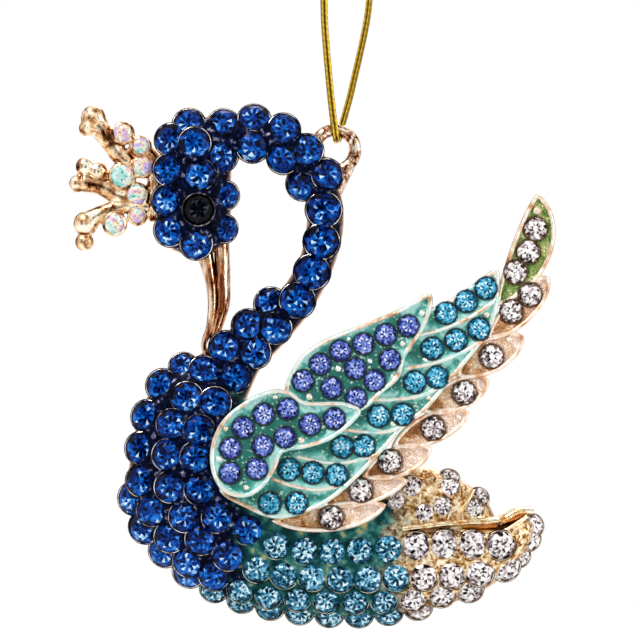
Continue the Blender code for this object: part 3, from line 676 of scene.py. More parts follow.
# %% Stone rows
BLUE, NECK_STONE, SMALL_BLUE = 4.0, 4.4, 3.5
BELLY_STONE, LOWER_STONE = 3.65, 3.45
RUMP_STONE, TIP_STONE = 2.65, 2.85
STONE_SINK = 0.2
STONE_TURN = 1.6
EDGE_DEPTH = -2.2
RAY_START = -50.0

BLUE_ROWS = [([(-20.7, -10.1), (-21, -5.9), (-20.8, -2.1), (-20.6, 1.3)], 4, BLUE),
             ([(-17.3, -11.8)], 1, BLUE),
             ([(-16.9, -3.1), (-17.5, 0.8)], 2, BLUE),
             ([(-18.3, 3.3)], 1, BLUE),
             ([(-13.7, -9.9), (-13.5, -5.7)], 2, SMALL_BLUE),
             ([(-14.0, 3.3), (-9.9, 3.9), (-6.1, 2.5), (-3.2, -0.3), (-0.9, -3.1)], 5, BLUE),
             ([(-14, -0.8)], 1, BLUE),
             ([(-10.3, 0.3)], 1, BLUE),
             ([(-6.5, -1.1), (-4.2, -4.4)], 2, BLUE),
             ([(-1.4, -7.5), (-1.7, -11.6), (-2.8, -15.1), (-4.7, -18.8)], 4, NECK_STONE),
             ([(-8.2, -19), (-11.1, -22), (-13.8, -24.7), (-16.3, -27.6)], 4, BLUE),
             ([(-7.4, -22.3), (-10, -25.3), (-12.5, -28.4)], 3, BLUE),
             ([(-21.7, -29.3), (-18.4, -30.9), (-14.9, -31.5)], 3, BLUE),
             ([(-23.6, -33.2), (-20.5, -34.2), (-16.9, -35)], 3, BLUE),
             ([(-24.3, -37.2), (-21.1, -38), (-17.3, -38.3)], 3, BLUE),
             ([(-24.2, -41.3), (-20.6, -42), (-16.8, -42.3)], 3, BLUE),
             ([(-22.8, -45), (-18.8, -45.7), (-14.4, -45.8), (-10.8, -47.3)], 4, BLUE),
             ([(-20.6, -48.3), (-16.8, -48.5), (-13.3, -50.5)], 3, BLUE),
             ([(-18.3, -51.4), (-15.1, -53)], 2, BLUE)]
BLUE_EDGE_ROWS = [([(-19.0, -26.9)], 1, SMALL_BLUE),
                  ([(-25.5, -43.6), (-24.0, -47.4), (-21.4, -50.3), (-18.4, -52.9)], 4, BLUE)]
BELLY_ROWS = [([(-7.3, -49.2), (-3.5, -49.9), (3.8, -49.9), (7.7, -49.6), (14.2, -49.2), (20.6, -49.3)],
               9, BELLY_STONE),
              ([(-9.7, -52.2), (-5.8, -53), (1.5, -53.4), (8.6, -53.2), (15.4, -52.9), (21.4, -52.2)],
               10, BELLY_STONE),
              ([(-11.8, -54.9), (-8, -55.6), (-0.6, -56.2), (6.8, -56.2), (13.6, -55.4), (16.8, -54.9)],
               9, LOWER_STONE)]
BELLY_EDGE_ROWS = [([(23.7, -48.4)], 1, TIP_STONE),
                   ([(25.3, -46.6)], 1, TIP_STONE),
                   ([(23.3, -51)], 1, TIP_STONE),
                   ([(-15.2, -55.0), (-11.7, -56.5), (-8.1, -57.4), (-0.5, -58.2), (6.8, -58.0),
                     (10.4, -57.3)], 8, LOWER_STONE)]
RUMP_ROWS = [([(9.5, -42.1)], 1, TIP_STONE),
             ([(7.5, -43.7)], 1, RUMP_STONE),
             ([(14.3, -42.2)], 1, RUMP_STONE),
             ([(13.4, -44.5), (11.1, -45.3)], 2, RUMP_STONE),
             ([(17.3, -44.7)], 1, RUMP_STONE)]
RUMP_EDGE_ROWS = [([(14.4, -40.7)], 1, RUMP_STONE),
                  ([(18.3, -43.1)], 1, RUMP_STONE)]
AQUA_END = 8.6

surface = BVHTree.FromObject(body, bpy.context.evaluated_depsgraph_get())


def seat_in_front(x, z):
    """The place on the metal straight behind (x, z), and which way it faces."""
    hit, normal, _, _ = surface.ray_cast(Vector((x * MM, RAY_START * MM, z * MM)), -FRONT)
    return hit / MM, normal


def seat_beside(x, z):
    """The nearest place on the metal's edge, and which way it faces."""
    hit, normal, _, _ = surface.find_nearest(Vector((x, EDGE_DEPTH, z)) * MM)
    return hit / MM, normal


def seats_of(rows, find):
    """Place, outward direction and radius of each stone in the rows."""
    seats = []
    for guide, count, diameter in rows:
        for x, z in evenly_along(guide, count):
            place, normal = find(x, z)
            facing = (normal + FRONT * STONE_TURN).normalized()
            seats.append((place - normal * STONE_SINK, facing, diameter / 2))
    return seats


blue_seats = seats_of(BLUE_ROWS, seat_in_front) + seats_of(BLUE_EDGE_ROWS, seat_beside)
belly_seats = seats_of(BELLY_ROWS, seat_in_front) + seats_of(BELLY_EDGE_ROWS, seat_beside)
tail_seats = [s for s in belly_seats if s[0].x > AQUA_END]
belly_seats = [s for s in belly_seats if s[0].x <= AQUA_END]
tail_seats += seats_of(RUMP_ROWS, seat_in_front) + seats_of(RUMP_EDGE_ROWS, seat_beside)
print("stones on the body:", len(blue_seats), len(belly_seats), len(tail_seats))

# %% [markdown]
# The stones in the wing, the crown and the eye are nodes of the frame, so their places are read from it:
# the middle of a stone's box is on its axis, and its width is its diameter.

# %% Stones that the frame holds
WING_LEAN = 0.10
WING_HEADING = math.radians(41.6)
wing_slope = (WING_LEAN * math.cos(WING_HEADING), WING_LEAN * math.sin(WING_HEADING))
wing_facing = Vector((wing_slope[0], -1, wing_slope[1])).normalized()
FRAME_STONE_SIDES = 8
STONE_CROWN = 0.36
STONE_PAVILION = 0.62


def framed_seats(start, facing):
    """Seats of the frame's stones whose names begin with start, and those names."""
    names = sorted(n for n in frame["nodes"] if n.startswith(start))
    seats = []
    for name in names:
        low, high = (Vector(c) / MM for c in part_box(name))
        radius = (high.z - low.z) / 2 / math.cos(math.pi / FRAME_STONE_SIDES)
        middle = (low + high) / 2
        girdle = middle + facing * radius * (STONE_PAVILION - STONE_CROWN) / 2
        seats.append((girdle, facing, radius))
    return seats, names


lilac_seats, lilac_nodes = framed_seats("lilac_stone", wing_facing)
aqua_seats, aqua_nodes = framed_seats("aqua_stone", wing_facing)
clear_seats, clear_nodes = framed_seats("clear_stone", wing_facing)
crown_seats, crown_nodes = framed_seats("crown_stone", FRONT)
eye_seats, eye_nodes = framed_seats("eye_stone", FRONT)
print("stones in the wing:", len(lilac_seats), len(aqua_seats), len(clear_seats))

# %% [markdown]
# ## Cutting one stone
# Such a stone has a flat table, a belt of facets down to its widest edge, the girdle, and a pointed back
# with foil on it. What sparkles is the foil seen through the table, so the table is cut into wedges and each
# facet carries a painted value of light and shade, from the dark to the bright side of the foil. The rings
# below go from the middle of the table to just under the girdle, each with its number of corners, radius,
# height and turn.

# %% Stone template
WEDGES = 16
MAIN_FACETS = 8
STONE_RINGS = {"inner": (MAIN_FACETS, 0.27, 0.35, 0.5), "table": (WEDGES, 0.6, 0.355, 0.0),
               "belt": (MAIN_FACETS, 0.8, 0.21, 0.5), "girdle": (WEDGES, 1.0, 0.0, 0.0),
               "under": (WEDGES, 0.98, -0.06, 0.0)}
TABLE_MIDDLE = 0.345


def stone_template():
    """A round cut stone of radius 1, its girdle on the XY plane and its outward axis +Z."""
    bm = bmesh.new()
    tone = bm.faces.layers.float.new("cut")

    def ring(count, radius, height, shift):
        return [bm.verts.new((radius * math.cos(a), radius * math.sin(a), height))
                for a in (2 * math.pi * (i + shift) / count for i in range(count))]

    middle = bm.verts.new((0, 0, TABLE_MIDDLE))
    inner, table, belt, girdle, under = (ring(*size) for size in STONE_RINGS.values())
    point = bm.verts.new((0, 0, -STONE_PAVILION))

    def facet(value, *corners):
        bm.faces.new(corners)[tone] = value

    # Each number is a facet's painted light and shade, from the dark to the bright side of the foil.
    for i in range(MAIN_FACETS):
        a, b, c = 2 * i, 2 * i + 1, (2 * i + 2) % WEDGES
        facet(0.62, middle, inner[i - 1], inner[i])
        facet(0.12 if i % 2 else 0.4, inner[i - 1], table[a], inner[i])
        facet(0.85, inner[i], table[a], table[b])
        facet(0.5, inner[i], table[b], table[c])
        facet(0.36, table[a], belt[i], table[b])
        facet(0.66, table[b], belt[i], table[c])
        facet(0.42, table[a], girdle[a], belt[i])
        facet(0.25, girdle[a], girdle[b], belt[i])
        facet(0.1, girdle[b], girdle[c], belt[i])
        facet(0.5, girdle[c], table[c], belt[i])
    for i in range(WEDGES):
        after = (i + 1) % WEDGES
        facet(0.0, girdle[i], under[i], under[after], girdle[after])
        facet(0.0, under[i], point, under[after])
    bmesh.ops.recalc_face_normals(bm, faces=bm.faces)
    return mesh_object("stone", bm)


stone = stone_template()
print("facets on one stone:", len(stone.data.polygons))

# %% [markdown]
# ## Setting the stones with Geometry Nodes
# Each group of stones of one colour is one piece. Its seats become points that carry a turn and a size,
# the tree puts a stone on each, and gives every facet of every stone its painted shading: the template's
# value, plus a random share with a fixed seed. The same tree sets the metal rims round the stones, from
# another template, and paints their foot in shade.


# %% Setting tree
def setting_tree():
    """Nodes that set a template on points, with inputs for the template, finish, spread and seed."""
    tree = bpy.data.node_groups.new("stone setting", "GeometryNodeTree")
    for name, kind in (("Geometry", "Geometry"), ("Template", "Object"), ("Finish", "Material"),
                       ("Spread", "Float"), ("Seed", "Int")):
        tree.interface.new_socket(name, in_out="INPUT", socket_type="NodeSocket" + kind)
    tree.interface.new_socket("Geometry", in_out="OUTPUT", socket_type="NodeSocketGeometry")

    def node(kind, inputs=None, **settings):
        return add_node(tree, kind, inputs, **settings).outputs

    def stored(name, kind):
        return node("GeometryNodeInputNamedAttribute", {"Name": name}, data_type=kind)["Attribute"]

    def maths(operation, first, second):
        return node("ShaderNodeMath", {0: first, 1: second}, operation=operation)[0]

    start = node("NodeGroupInput")
    template = node("GeometryNodeObjectInfo", {"Object": start["Template"]})["Geometry"]
    turn = node("FunctionNodeEulerToRotation", {0: stored("turn", "FLOAT_VECTOR")})[0]
    placed = node("GeometryNodeInstanceOnPoints", {
        "Points": start["Geometry"], "Instance": template, "Rotation": turn,
        "Scale": stored("size", "FLOAT_VECTOR")})["Instances"]
    real = node("GeometryNodeRealizeInstances", {"Geometry": placed})["Geometry"]
    chance = node("FunctionNodeRandomValue", {"Seed": start["Seed"]}, data_type="FLOAT")[1]
    share = maths("MULTIPLY", maths("SUBTRACT", chance, 0.5), start["Spread"])
    # Painted shading: the template's value plus a random share.
    tone = maths("ADD", stored("cut", "FLOAT"), share)
    toned = node("GeometryNodeStoreNamedAttribute", {"Geometry": real, "Name": "tone", "Value": tone},
                 data_type="FLOAT", domain="FACE")["Geometry"]
    dressed = node("GeometryNodeSetMaterial", {"Geometry": toned, "Material": start["Finish"]})["Geometry"]
    node("NodeGroupOutput", {"Geometry": dressed})
    return tree


setting = setting_tree()


def set_on_points(name, template, finish, seats, spread=0.0, seed=1, spin=0.0):
    """Put the template on each seat, turned by up to the spin, and return one plain mesh object."""
    mesh = bpy.data.meshes.new(name)
    mesh.from_pydata([place * MM for place, _, _ in seats], [], [])
    turns = mesh.attributes.new("turn", "FLOAT_VECTOR", "POINT")
    sizes = mesh.attributes.new("size", "FLOAT_VECTOR", "POINT")
    rng = np.random.default_rng(seed)
    for i, (_, outward, radius) in enumerate(seats):
        side = UP.cross(outward).normalized()
        basis = Matrix((side, outward.cross(side), outward)).transposed()
        basis = basis @ Matrix.Rotation(float(rng.uniform(-spin, spin)), 3, "Z")
        turns.data[i].vector = basis.to_euler("XYZ")
        sizes.data[i].vector = (radius * MM,) * 3
    piece = add_object(name, mesh)
    modifier = piece.modifiers.new("setting", "NODES")
    modifier.node_group = setting
    values = {"Template": template, "Finish": finish.material, "Spread": spread, "Seed": seed}
    for socket in setting.interface.items_tree:
        if socket.in_out == "INPUT" and socket.name in values:
            modifier[socket.identifier] = values[socket.name]
    return bake_modifiers(piece)


# %% [markdown]
# ## Glass
# Foil-backed glass is dark where the foil turns away and bright where it faces us. Here that is painted: a
# ramp over the facets' painted shading gives that range in the stone's own colour, up to painted glints. The
# foil's own image is broken up by the facets in front of it, and random cells half a millimetre wide paint
# the same here. The gloss stays thin, because a strong one would lay the white surroundings over the colours
# like a haze.


# %% Glass finishes
def foiled_glass(name, stops, size=0.5, share=0.5, reach=1.0):
    """Foil-backed glass with painted reflections and glints; size is that of the foil's cells in millimetres,
    and share what they change.
    """
    glass = Finish(name, roughness=0.1, metallic=0.15, coat=0.08, specular=0.05)
    painted_reflection_cells = glass.maths("MULTIPLY", glass.maths("SUBTRACT", glass.cells(size), 0.5), share)
    light = glass.maths("ADD", glass.attribute("tone"), painted_reflection_cells)
    glass.paint(glass.ramp(glass.span(light, 0.0, reach), stops))
    return glass


# Each ramp runs from painted dark reflection at the bottom to painted glints at its top.
royal_glass = foiled_glass("royal blue glass", [
    (0.0, "01020c"), (0.22, "020e38"), (0.4, "032a78"), (0.6, "084cac"), (0.8, "1880e0"), (1.0, "d0f2ff")],
    size=0.8, share=0.7, reach=1.25)
lilac_glass = foiled_glass("lilac glass", [
    (0.0, "080a2a"), (0.22, "202c72"), (0.45, "4c60b8"), (0.72, "8096e4"), (1.0, "eef0ff")], share=0.35)
aqua_glass = foiled_glass("aqua glass", [
    (0.0, "021824"), (0.2, "0a4664"), (0.42, "2084ae"), (0.7, "58bede"), (1.0, "e6faff")], share=0.4)
belly_glass = foiled_glass("deep aqua glass", [
    (0.0, "020f1a"), (0.25, "0a3850"), (0.48, "1f6484"), (0.72, "58a6c6"), (1.0, "e0f6ff")],
    size=0.4, share=0.7)
clear_glass = foiled_glass("clear glass", [
    (0.0, "181012"), (0.2, "5e5052"), (0.4, "ac9c9c"), (0.64, "e4dadc"), (0.9, "ffffff")],
    size=0.42, share=0.7)
jet_glass = foiled_glass("jet glass", [
    (0.0, "010102"), (0.6, "06070a"), (0.9, "161820"), (1.0, "3c4250")])


def opal_glass():
    """A milky stone whose coat turns from mint to pink and violet, with painted light and shade on its
    facets.
    """
    glass = Finish("opal glass", roughness=0.1, metallic=0.1, coat=0.4)
    drift = glass.noise(0.42, detail=0.5, distortion=1.2)
    hue = glass.ramp(drift, [
        (0.32, "90e4d8"), (0.42, "eefaf4"), (0.5, "fff0c0"), (0.57, "f6c8dc"), (0.66, "cfc2f6")])
    light = glass.ramp(glass.attribute("tone"), [(0.0, "a298a8"), (0.3, "e6e2e8"), (0.6, "ffffff")])
    glass.paint(glass.mix(1.0, hue, light, "MULTIPLY"))
    return glass


opal = opal_glass()

# %% [markdown]
# The studio's main light is high up. It enters each stone from above and the foil throws it back from the
# lower side, so the lower facets of the blue stones are painted brighter.


# %% Set the stones
ANY_TURN = 3.1
SMALL_TURN = 0.4
FIRST_SEED = 11
LOWER_LIGHT = 0.25


def light_lower_facets(piece, seats, amount):
    """Paint light on the stones: raise the painted shading of facets below a stone's middle and lower it
    above.
    """
    centres = rows_of(piece.data.polygons, "center").astype(float)
    each = len(centres) // len(seats)
    middles = np.repeat([seat[0].z for seat in seats], each)
    radii = np.repeat([seat[2] for seat in seats], each)
    tones = np.empty(len(centres), np.float32)
    layer = piece.data.attributes["tone"]
    layer.data.foreach_get("value", tones)
    drop = (middles - centres[:, 2] / MM) / radii
    layer.data.foreach_set("value", (tones + amount * drop).astype(np.float32))


stone_sets = [("royal_blue_stones", royal_glass, blue_seats, 0.5, ANY_TURN),
              ("belly_aqua_stones", belly_glass, belly_seats, 0.6, SMALL_TURN),
              ("tail_clear_stones", clear_glass, tail_seats, 0.8, SMALL_TURN),
              ("wing_lilac_stones", lilac_glass, lilac_seats, 0.6, ANY_TURN),
              ("wing_aqua_stones", aqua_glass, aqua_seats, 0.6, ANY_TURN),
              ("wing_clear_stones", clear_glass, clear_seats, 0.8, ANY_TURN),
              ("crown_opal_stones", opal, crown_seats, 0.4, ANY_TURN),
              ("eye_cut_stone", jet_glass, eye_seats, 0.5, 0.0)]
set_stones = [set_on_points(name, stone, glass, seats, spread, seed, spin)
              for seed, (name, glass, seats, spread, spin) in enumerate(stone_sets, FIRST_SEED)]
light_lower_facets(set_stones[0], blue_seats, LOWER_LIGHT)
print("stone pieces:", len(set_stones), "faces:", sum(len(p.data.polygons) for p in set_stones))

# %% [markdown]
# ## Rims round the stones
# Each seat is drilled and leaves a thin wall that is burnished against the stone. Between the blue stones
# these walls are the pale lines of metal, with painted highlights on top and painted shade at their foot. In
# the wing a dark ring in the seat's gap under the enamel's edge is painted shadow.
# Each template is given its inner and outer radius, foot and crest, for a stone of radius 1.


# %% Seat rims
RIM_FOOT = 0.07


def ring_template(name, inner, outer, low, high, sides=24):
    """A closed ring with a rounded top; its crest carries a painted shading of 1 and its foot 0, the painted
    shade at the foot.
    """
    rings = []
    for i in range(sides):
        a = 2 * math.pi * i / sides
        profile = [(inner, low), (inner, high * 0.7), ((inner + outer) / 2, high), (outer, high * 0.6),
                   (outer + RIM_FOOT, high - RIM_FOOT), (outer + RIM_FOOT, low)]
        rings.append([(r * math.cos(a), r * math.sin(a), h) for r, h in profile])
    bm = bmesh.new()
    crest = bm.faces.layers.float.new("cut")
    bridge(bm, rings + rings[:1], close_ends=False)
    bmesh.ops.remove_doubles(bm, verts=bm.verts, dist=1e-5)
    bmesh.ops.recalc_face_normals(bm, faces=bm.faces)
    for face in bm.faces:
        face.smooth = True
        narrowest = min(math.hypot(v.co.x, v.co.y) for v in face.verts)
        lowest = min(v.co.z for v in face.verts)
        face[crest] = float(narrowest < outer - 1e-4 and lowest > high / 2)
    return mesh_object(name, bm)


def rim_metal_painted_light(name, stops, foot):
    """Plated rim metal drifting from dark, partly tarnish and partly painted dark reflection, through rose to
    painted cream and white highlights, with a painted shade colour at the foot.
    """
    metal = Finish(name, roughness=0.22, metallic=1.0)
    drift = metal.noise((0.8, 0.8, 0.5), detail=5.0, distortion=0.6)
    metal.paint(metal.mix(metal.attribute("tone"), foot, metal.ramp(drift, stops)))
    metal.bump(metal.noise(2.6), 0.05, 0.5)
    return metal


# Each rim's ramp runs from dark, partly tarnish and partly painted dark reflection, to painted highlights;
# its last code is the painted shade at its foot.
blue_rim = rim_metal_painted_light("rim metal among blue stones", [
    (0.4, "1a1e34"), (0.47, "77707a"), (0.56, "dccfc2"), (0.66, "ffffff")], "02040c")
belly_rim = rim_metal_painted_light("rim metal in the green", [
    (0.34, "1c3c3c"), (0.46, "7c9488"), (0.6, "e4dcc8")], "06201c")
tail_rim = rim_metal_painted_light("rim metal on the tail", [
    (0.34, "6a4628"), (0.48, "c09a6c"), (0.62, "fff2dc")], "2c1a0c")
# Painted shadow: dark rings in the seats' gaps, under the enamel's and the feathers' edges.
seat_painted_shadow = Finish("painted shadow in enamel seats", roughness=0.35, metallic=0.2, coat=0.15, base="061a28")
feather_seat_painted_shadow = Finish("painted shadow in feather seats", roughness=0.35, metallic=0.4, coat=0.15, base="5a3e22")
rim_template = ring_template("rim", 0.985, 1.04, -0.25, 0.06)
gap_template = ring_template("gap", 0.95, 1.04, -0.3, 0.03)
thin_gap_template = ring_template("thin_gap", 0.97, 1.02, -0.3, 0.03)
stone_walls = [set_on_points(name, template, finish, seats) for name, template, finish, seats in (
    ("blue_stone_rims", rim_template, blue_rim, blue_seats),
    ("belly_stone_rims", rim_template, belly_rim, belly_seats),
    ("tail_stone_rims", rim_template, tail_rim, tail_seats),
    ("enamel_stone_seats", gap_template, seat_painted_shadow, lilac_seats + aqua_seats),
    ("feather_stone_seats", thin_gap_template, feather_seat_painted_shadow, clear_seats))]
for template in (stone, rim_template, gap_template, thin_gap_template):
    bpy.data.objects.remove(template)
print("rims:", len(blue_seats + belly_seats + tail_seats))

# %% [markdown]
# ## The wing as a relief
# Each feather plate is a shallow relief: a rounded rim follows its outline, and a sunken field holds enamel.
# The height at a place depends on how far it is from the outline, so the plate is filled with small
# triangles and each point is lifted by a formula. The same distances paint it: pale on the rim, light
# enamel beside it, and dark enamel in the middle, where it lies deepest.

# %% Relief of a plate
RIM_WIDTH = 0.55
RIM_HEIGHT = 0.45
RIM_FULLNESS = 0.8
RIM_STEP = 0.35
BEAD_HEIGHT = 0.9
BEAD_SHINE = 0.8
SEAT_REACH = 0.1
SEAT_GROOVE = 0.12
SEAT_GROOVE_MIDDLE = 0.05
PLATE_ANGLE = 55
WING_ROOT = (-13.0, -40.0)
RELIEF_STEP = 0.17
RELIEF_ROW = 0.87
FAR = 9.0


def lean_at(x, z):
    """How far the wing leans back at a place."""
    heading = (x - WING_ROOT[0]) * math.cos(WING_HEADING) + (z - WING_ROOT[1]) * math.sin(WING_HEADING)
    return WING_LEAN * heading


def distance_to_line(points, line, closed):
    """Distance of many points to a run of straight stretches."""
    ends = np.roll(line, -1, axis=0) if closed else line[1:]
    starts = line if closed else line[:-1]
    best = np.full(len(points), 1e9)
    for a, b in zip(starts, ends):
        along = b - a
        share = np.clip(((points - a) @ along) / max(along @ along, 1e-12), 0, 1)
        best = np.minimum(best, np.hypot(*(points - a - share[:, None] * along).T))
    return best


def inside_outline(points, line):
    """Which points lie inside a closed outline."""
    inside = np.zeros(len(points), bool)
    x, z = points.T
    for (ax, az), (bx, bz) in zip(line, np.roll(line, -1, axis=0)):
        crosses = (az > z) != (bz > z)
        with np.errstate(divide="ignore", invalid="ignore"):
            meet = (bx - ax) * (z - az) / (bz - az) + ax
        inside ^= crosses & (x < meet)
    return inside


def rim_profile(distance):
    """A half-round rim that meets the field in a small fillet."""
    share = np.clip(distance / RIM_WIDTH, 0, 1)
    crest = RIM_HEIGHT * np.sqrt(np.clip(1 - (2 * share - 1) ** 2, 0, 1)) ** RIM_FULLNESS
    return np.where(distance < RIM_WIDTH, np.maximum(crest, RIM_HEIGHT * RIM_STEP * (share < 0.5)), 0.0)


class Plate:
    """One feather plate: its outline, depth and decoration, and the mesh that they make."""

    def __init__(self, outline, field, thickness, ridges, beads, seats, per_span=6):
        self.line = np.array([tuple(p) for p in curve_through(outline, per_span, closed=True)])
        self.ridges = [np.array([tuple(p) for p in curve_through(r, 8)]) for r in ridges]
        self.field, self.thickness, self.beads, self.seats = field, thickness, beads, seats

    def fill(self):
        """The outline and evenly spaced points inside it, joined into triangles."""
        low, high = self.line.min(axis=0), self.line.max(axis=0)
        columns = np.arange(low[0], high[0], RELIEF_STEP)
        rows = np.arange(low[1], high[1], RELIEF_STEP * RELIEF_ROW)
        grid = np.array([(x + (i % 2) * RELIEF_STEP / 2, z) for i, z in enumerate(rows) for x in columns])
        grid = grid[inside_outline(grid, self.line)]
        grid = grid[distance_to_line(grid, self.line, True) > RELIEF_STEP * 0.5]
        points = np.vstack([self.line, grid])
        count = len(self.line)
        edges = [(i, (i + 1) % count) for i in range(count)]
        result = delaunay_2d_cdt([Vector(p) for p in points], edges, [], 1, 1e-6)
        return np.array([tuple(v) for v in result[0]]), result[2]

    def heights(self, points):
        """Height over the field, how much each point is rim, and how far it is from rims and stones."""
        edge = distance_to_line(points, self.line, True)
        height = rim_profile(edge)
        near = edge - RIM_WIDTH
        for ridge in self.ridges:
            away = distance_to_line(points, ridge, False)
            height = np.maximum(height, rim_profile(away + RIM_WIDTH / 2))
            near = np.minimum(near, away - RIM_WIDTH / 2)
        rim = np.clip(height / RIM_HEIGHT, 0, 1)
        for x, z, radius in self.beads:
            away = np.hypot(points[:, 0] - x, points[:, 1] - z)
            height = np.maximum(height, np.sqrt(np.clip(radius ** 2 - away ** 2, 0, None)) * BEAD_HEIGHT)
            rim = np.maximum(rim, (away < radius) * BEAD_SHINE)
        stone_near = np.full(len(points), FAR)
        for place, _, radius in self.seats:
            away = np.hypot(points[:, 0] - place.x, points[:, 1] - place.z)
            stone_near = np.minimum(stone_near, away - radius)
        height = np.where(stone_near < SEAT_REACH, np.minimum(height, 0.0), height)
        height -= SEAT_GROOVE * np.exp(-((stone_near - SEAT_GROOVE_MIDDLE) / SEAT_GROOVE) ** 2)
        return height, rim, np.clip(near, 0, None), stone_near

    def mesh(self, name):
        """The plate as a piece: its relief in front, and plain sides and back."""
        points, faces = self.fill()
        height, rim, near, stone_near = self.heights(points)
        levels = self.field + lean_at(*points.T) - height
        bm = bmesh.new()
        front = [bm.verts.new((x, y, z)) for (x, z), y in zip(points, levels)]
        for face in faces:
            bm.faces.new([front[i] for i in face])
        edge = front[:len(self.line)]
        back_level = self.field + self.thickness
        back = [bm.verts.new((v.co.x, back_level + lean_at(v.co.x, v.co.z), v.co.z)) for v in edge]
        for i in range(len(edge)):
            bm.faces.new((edge[i - 1], edge[i], back[i], back[i - 1]))
        bm.faces.new(back)
        piece = new_piece(name, bm, smooth=PLATE_ANGLE)
        for key, values, at_back in (("rim", rim, 1.0), ("near", near, 0.0), ("stone_near", stone_near, 0.0)):
            store(piece, key, np.concatenate([values, np.full(len(back), at_back)]))
        return piece


# %% [markdown]
# The wing has three enamelled plates, one over the other, and eight gold flight feathers behind them. The
# outlines are those of the frame's casting, with curves instead of its straight sides.

# %% Plates and feathers
FIRST_COVERT = [(3.2, -32.8), (1.4, -31.5), (-2.2, -31.4), (-3.9, -31.3), (-5.6, -30.1), (-7.8, -29.9),
                (-11, -31.2), (-14, -33.7), (-15.4, -37), (-15.2, -40.4), (-13.6, -42.7), (-11, -43.2),
                (-8.8, -41.9), (-7.3, -39.6), (-6.4, -37.7), (-3.4, -37.1), (0, -35.8)]
SECOND_COVERT = [(-6.2, -29.4), (-4.6, -26.2), (-2.7, -24.5), (-0.5, -23.3), (4, -21.5), (8.6, -19.6),
                 (11.6, -17.9), (12.1, -19.4), (11, -22.5), (8.8, -25.8), (8, -28.4), (5.9, -30.3),
                 (3.1, -32.6), (-2, -33.5), (-5.5, -32)]
AQUA_OUTLINE = [(10.5, -20.5), (13.5, -19.1), (16, -17.6), (18.2, -16), (20.2, -14.9), (20.5, -17),
                (19.9, -21.2), (17.9, -24.6), (14.6, -28.6), (11.6, -32.2), (8.4, -34.9), (5.6, -37.9),
                (2.4, -41.2), (-1.6, -44.3), (-6.8, -45.9), (-11, -44.6), (-14.4, -41.9), (-10, -37),
                (-2, -31), (6, -25)]
AQUA_RIDGES = [[(10.6, -23.1), (13.7, -22.3), (17, -20.8), (20, -18.8)],
               [(8.7, -27.3), (12, -26.7), (15.2, -25.6), (18.4, -23.8)],
               [(4.6, -31.2), (9, -31), (12, -30.1), (14.4, -28.5)],
               [(1.2, -34.9), (5, -35.2), (7.6, -34.8), (10.6, -33)],
               [(-4.6, -38.2), (-1.5, -38.9), (1.6, -38.9), (5.2, -38)],
               [(-7.7, -41), (-5, -41.9), (-2, -42.3), (1.7, -41.6)]]
FLIGHT_FEATHERS = [((20.0, -19.6), (25.3, -5.4), 0.8, 4.3), ((18.8, -23.9), (26.7, -15.7), 1.6, 2.2),
                   ((15.0, -28.3), (23.5, -23.2), 2.2, 2.2), ((10.8, -32.7), (19.2, -28.7), 2.0, 2.0),
                   ((7.0, -37.0), (16.7, -32.7), 2.0, 1.9), ((3.3, -40.8), (12.0, -37.2), 2.0, 1.9),
                   ((-2.0, -44.4), (9.0, -41.2), 1.9, 1.5), ((-8.0, -46.2), (6.4, -44.2), 1.2, 2.4)]
FIRST_BEADS = [(-13.6, -34.7, 0.32), (-7.4, -30.8, 0.3), (-11, -42, 0.32), (-14.4, -38.5, 0.4),
               (-4.2, -36.2, 0.4)]
SECOND_BEADS = [(1.7, -23.6, 0.25), (0.4, -27.3, 0.4), (8.4, -24.2, 0.35), (7.2, -28.3, 0.3),
                (-3.2, -30.8, 0.42), (4.3, -26.4, 0.3), (10.8, -20.4, 0.4), (10.2, -22.1, 0.3),
                (9.9, -21.1, 0.22)]
AQUA_BEADS = [(20, -15.8, 0.32), (18.9, -20.6, 0.38), (11.2, -26.2, 0.3), (13.4, -27.2, 0.28),
              (16.2, -25.4, 0.25), (11.6, -30.9, 0.3), (7.2, -34.2, 0.3), (2.6, -35.9, 0.35),
              (-2.6, -38.9, 0.3), (-7.6, -43.4, 0.35)]
FEATHER_BEADS = [(25.2, -7.6, 0.5), (25.3, -16.4, 0.4), (11.2, -39.6, 0.4), (19.1, -29.6, 0.35),
                 (21.6, -23.6, 0.35), (15.4, -33.4, 0.35), (22.6, -24.6, 0.3), (17.4, -30.0, 0.3)]
FLIGHT_FIELD, FLIGHT_STEP, FLIGHT_THICKNESS = -6.5, 0.06, 2.2
AQUA_FIELD, AQUA_THICKNESS = -7.1, 2.4
SECOND_FIELD, COVERT_THICKNESS = -7.8, 2.6
FIRST_FIELD, ROOT_THICKNESS = -8.5, 5.0
FEATHER_HANDLES = (0.25, 0.88)


def mark_length(piece, root, tip, washed):
    """Store the share of the way from root to tip at each point, and whether the feather has a wash."""
    along = np.array(tip) - np.array(root)
    points = rows_of(piece.data.vertices, "co")[:, (0, 2)] / MM
    store(piece, "length", (points - np.array(root)) @ along / (along @ along))
    store(piece, "wash", np.full(len(points), washed))
    return piece


def feather_edge(root, tip, bow, steps=20):
    """One edge of a feather: a curve from root to tip that swells most near the tip."""
    root, tip = Vector(root), Vector(tip)
    side = Vector((root.y - tip.y, tip.x - root.x)).normalized() * bow * 4 / 3
    near, far = (root.lerp(tip, share) + side for share in FEATHER_HANDLES)
    edge = []
    for k in range(steps + 1):
        t = k / steps
        edge.append(root * (1 - t) ** 3 + near * (3 * t * (1 - t) ** 2) + far * (3 * t * t * (1 - t))
                    + tip * t ** 3)
    return edge


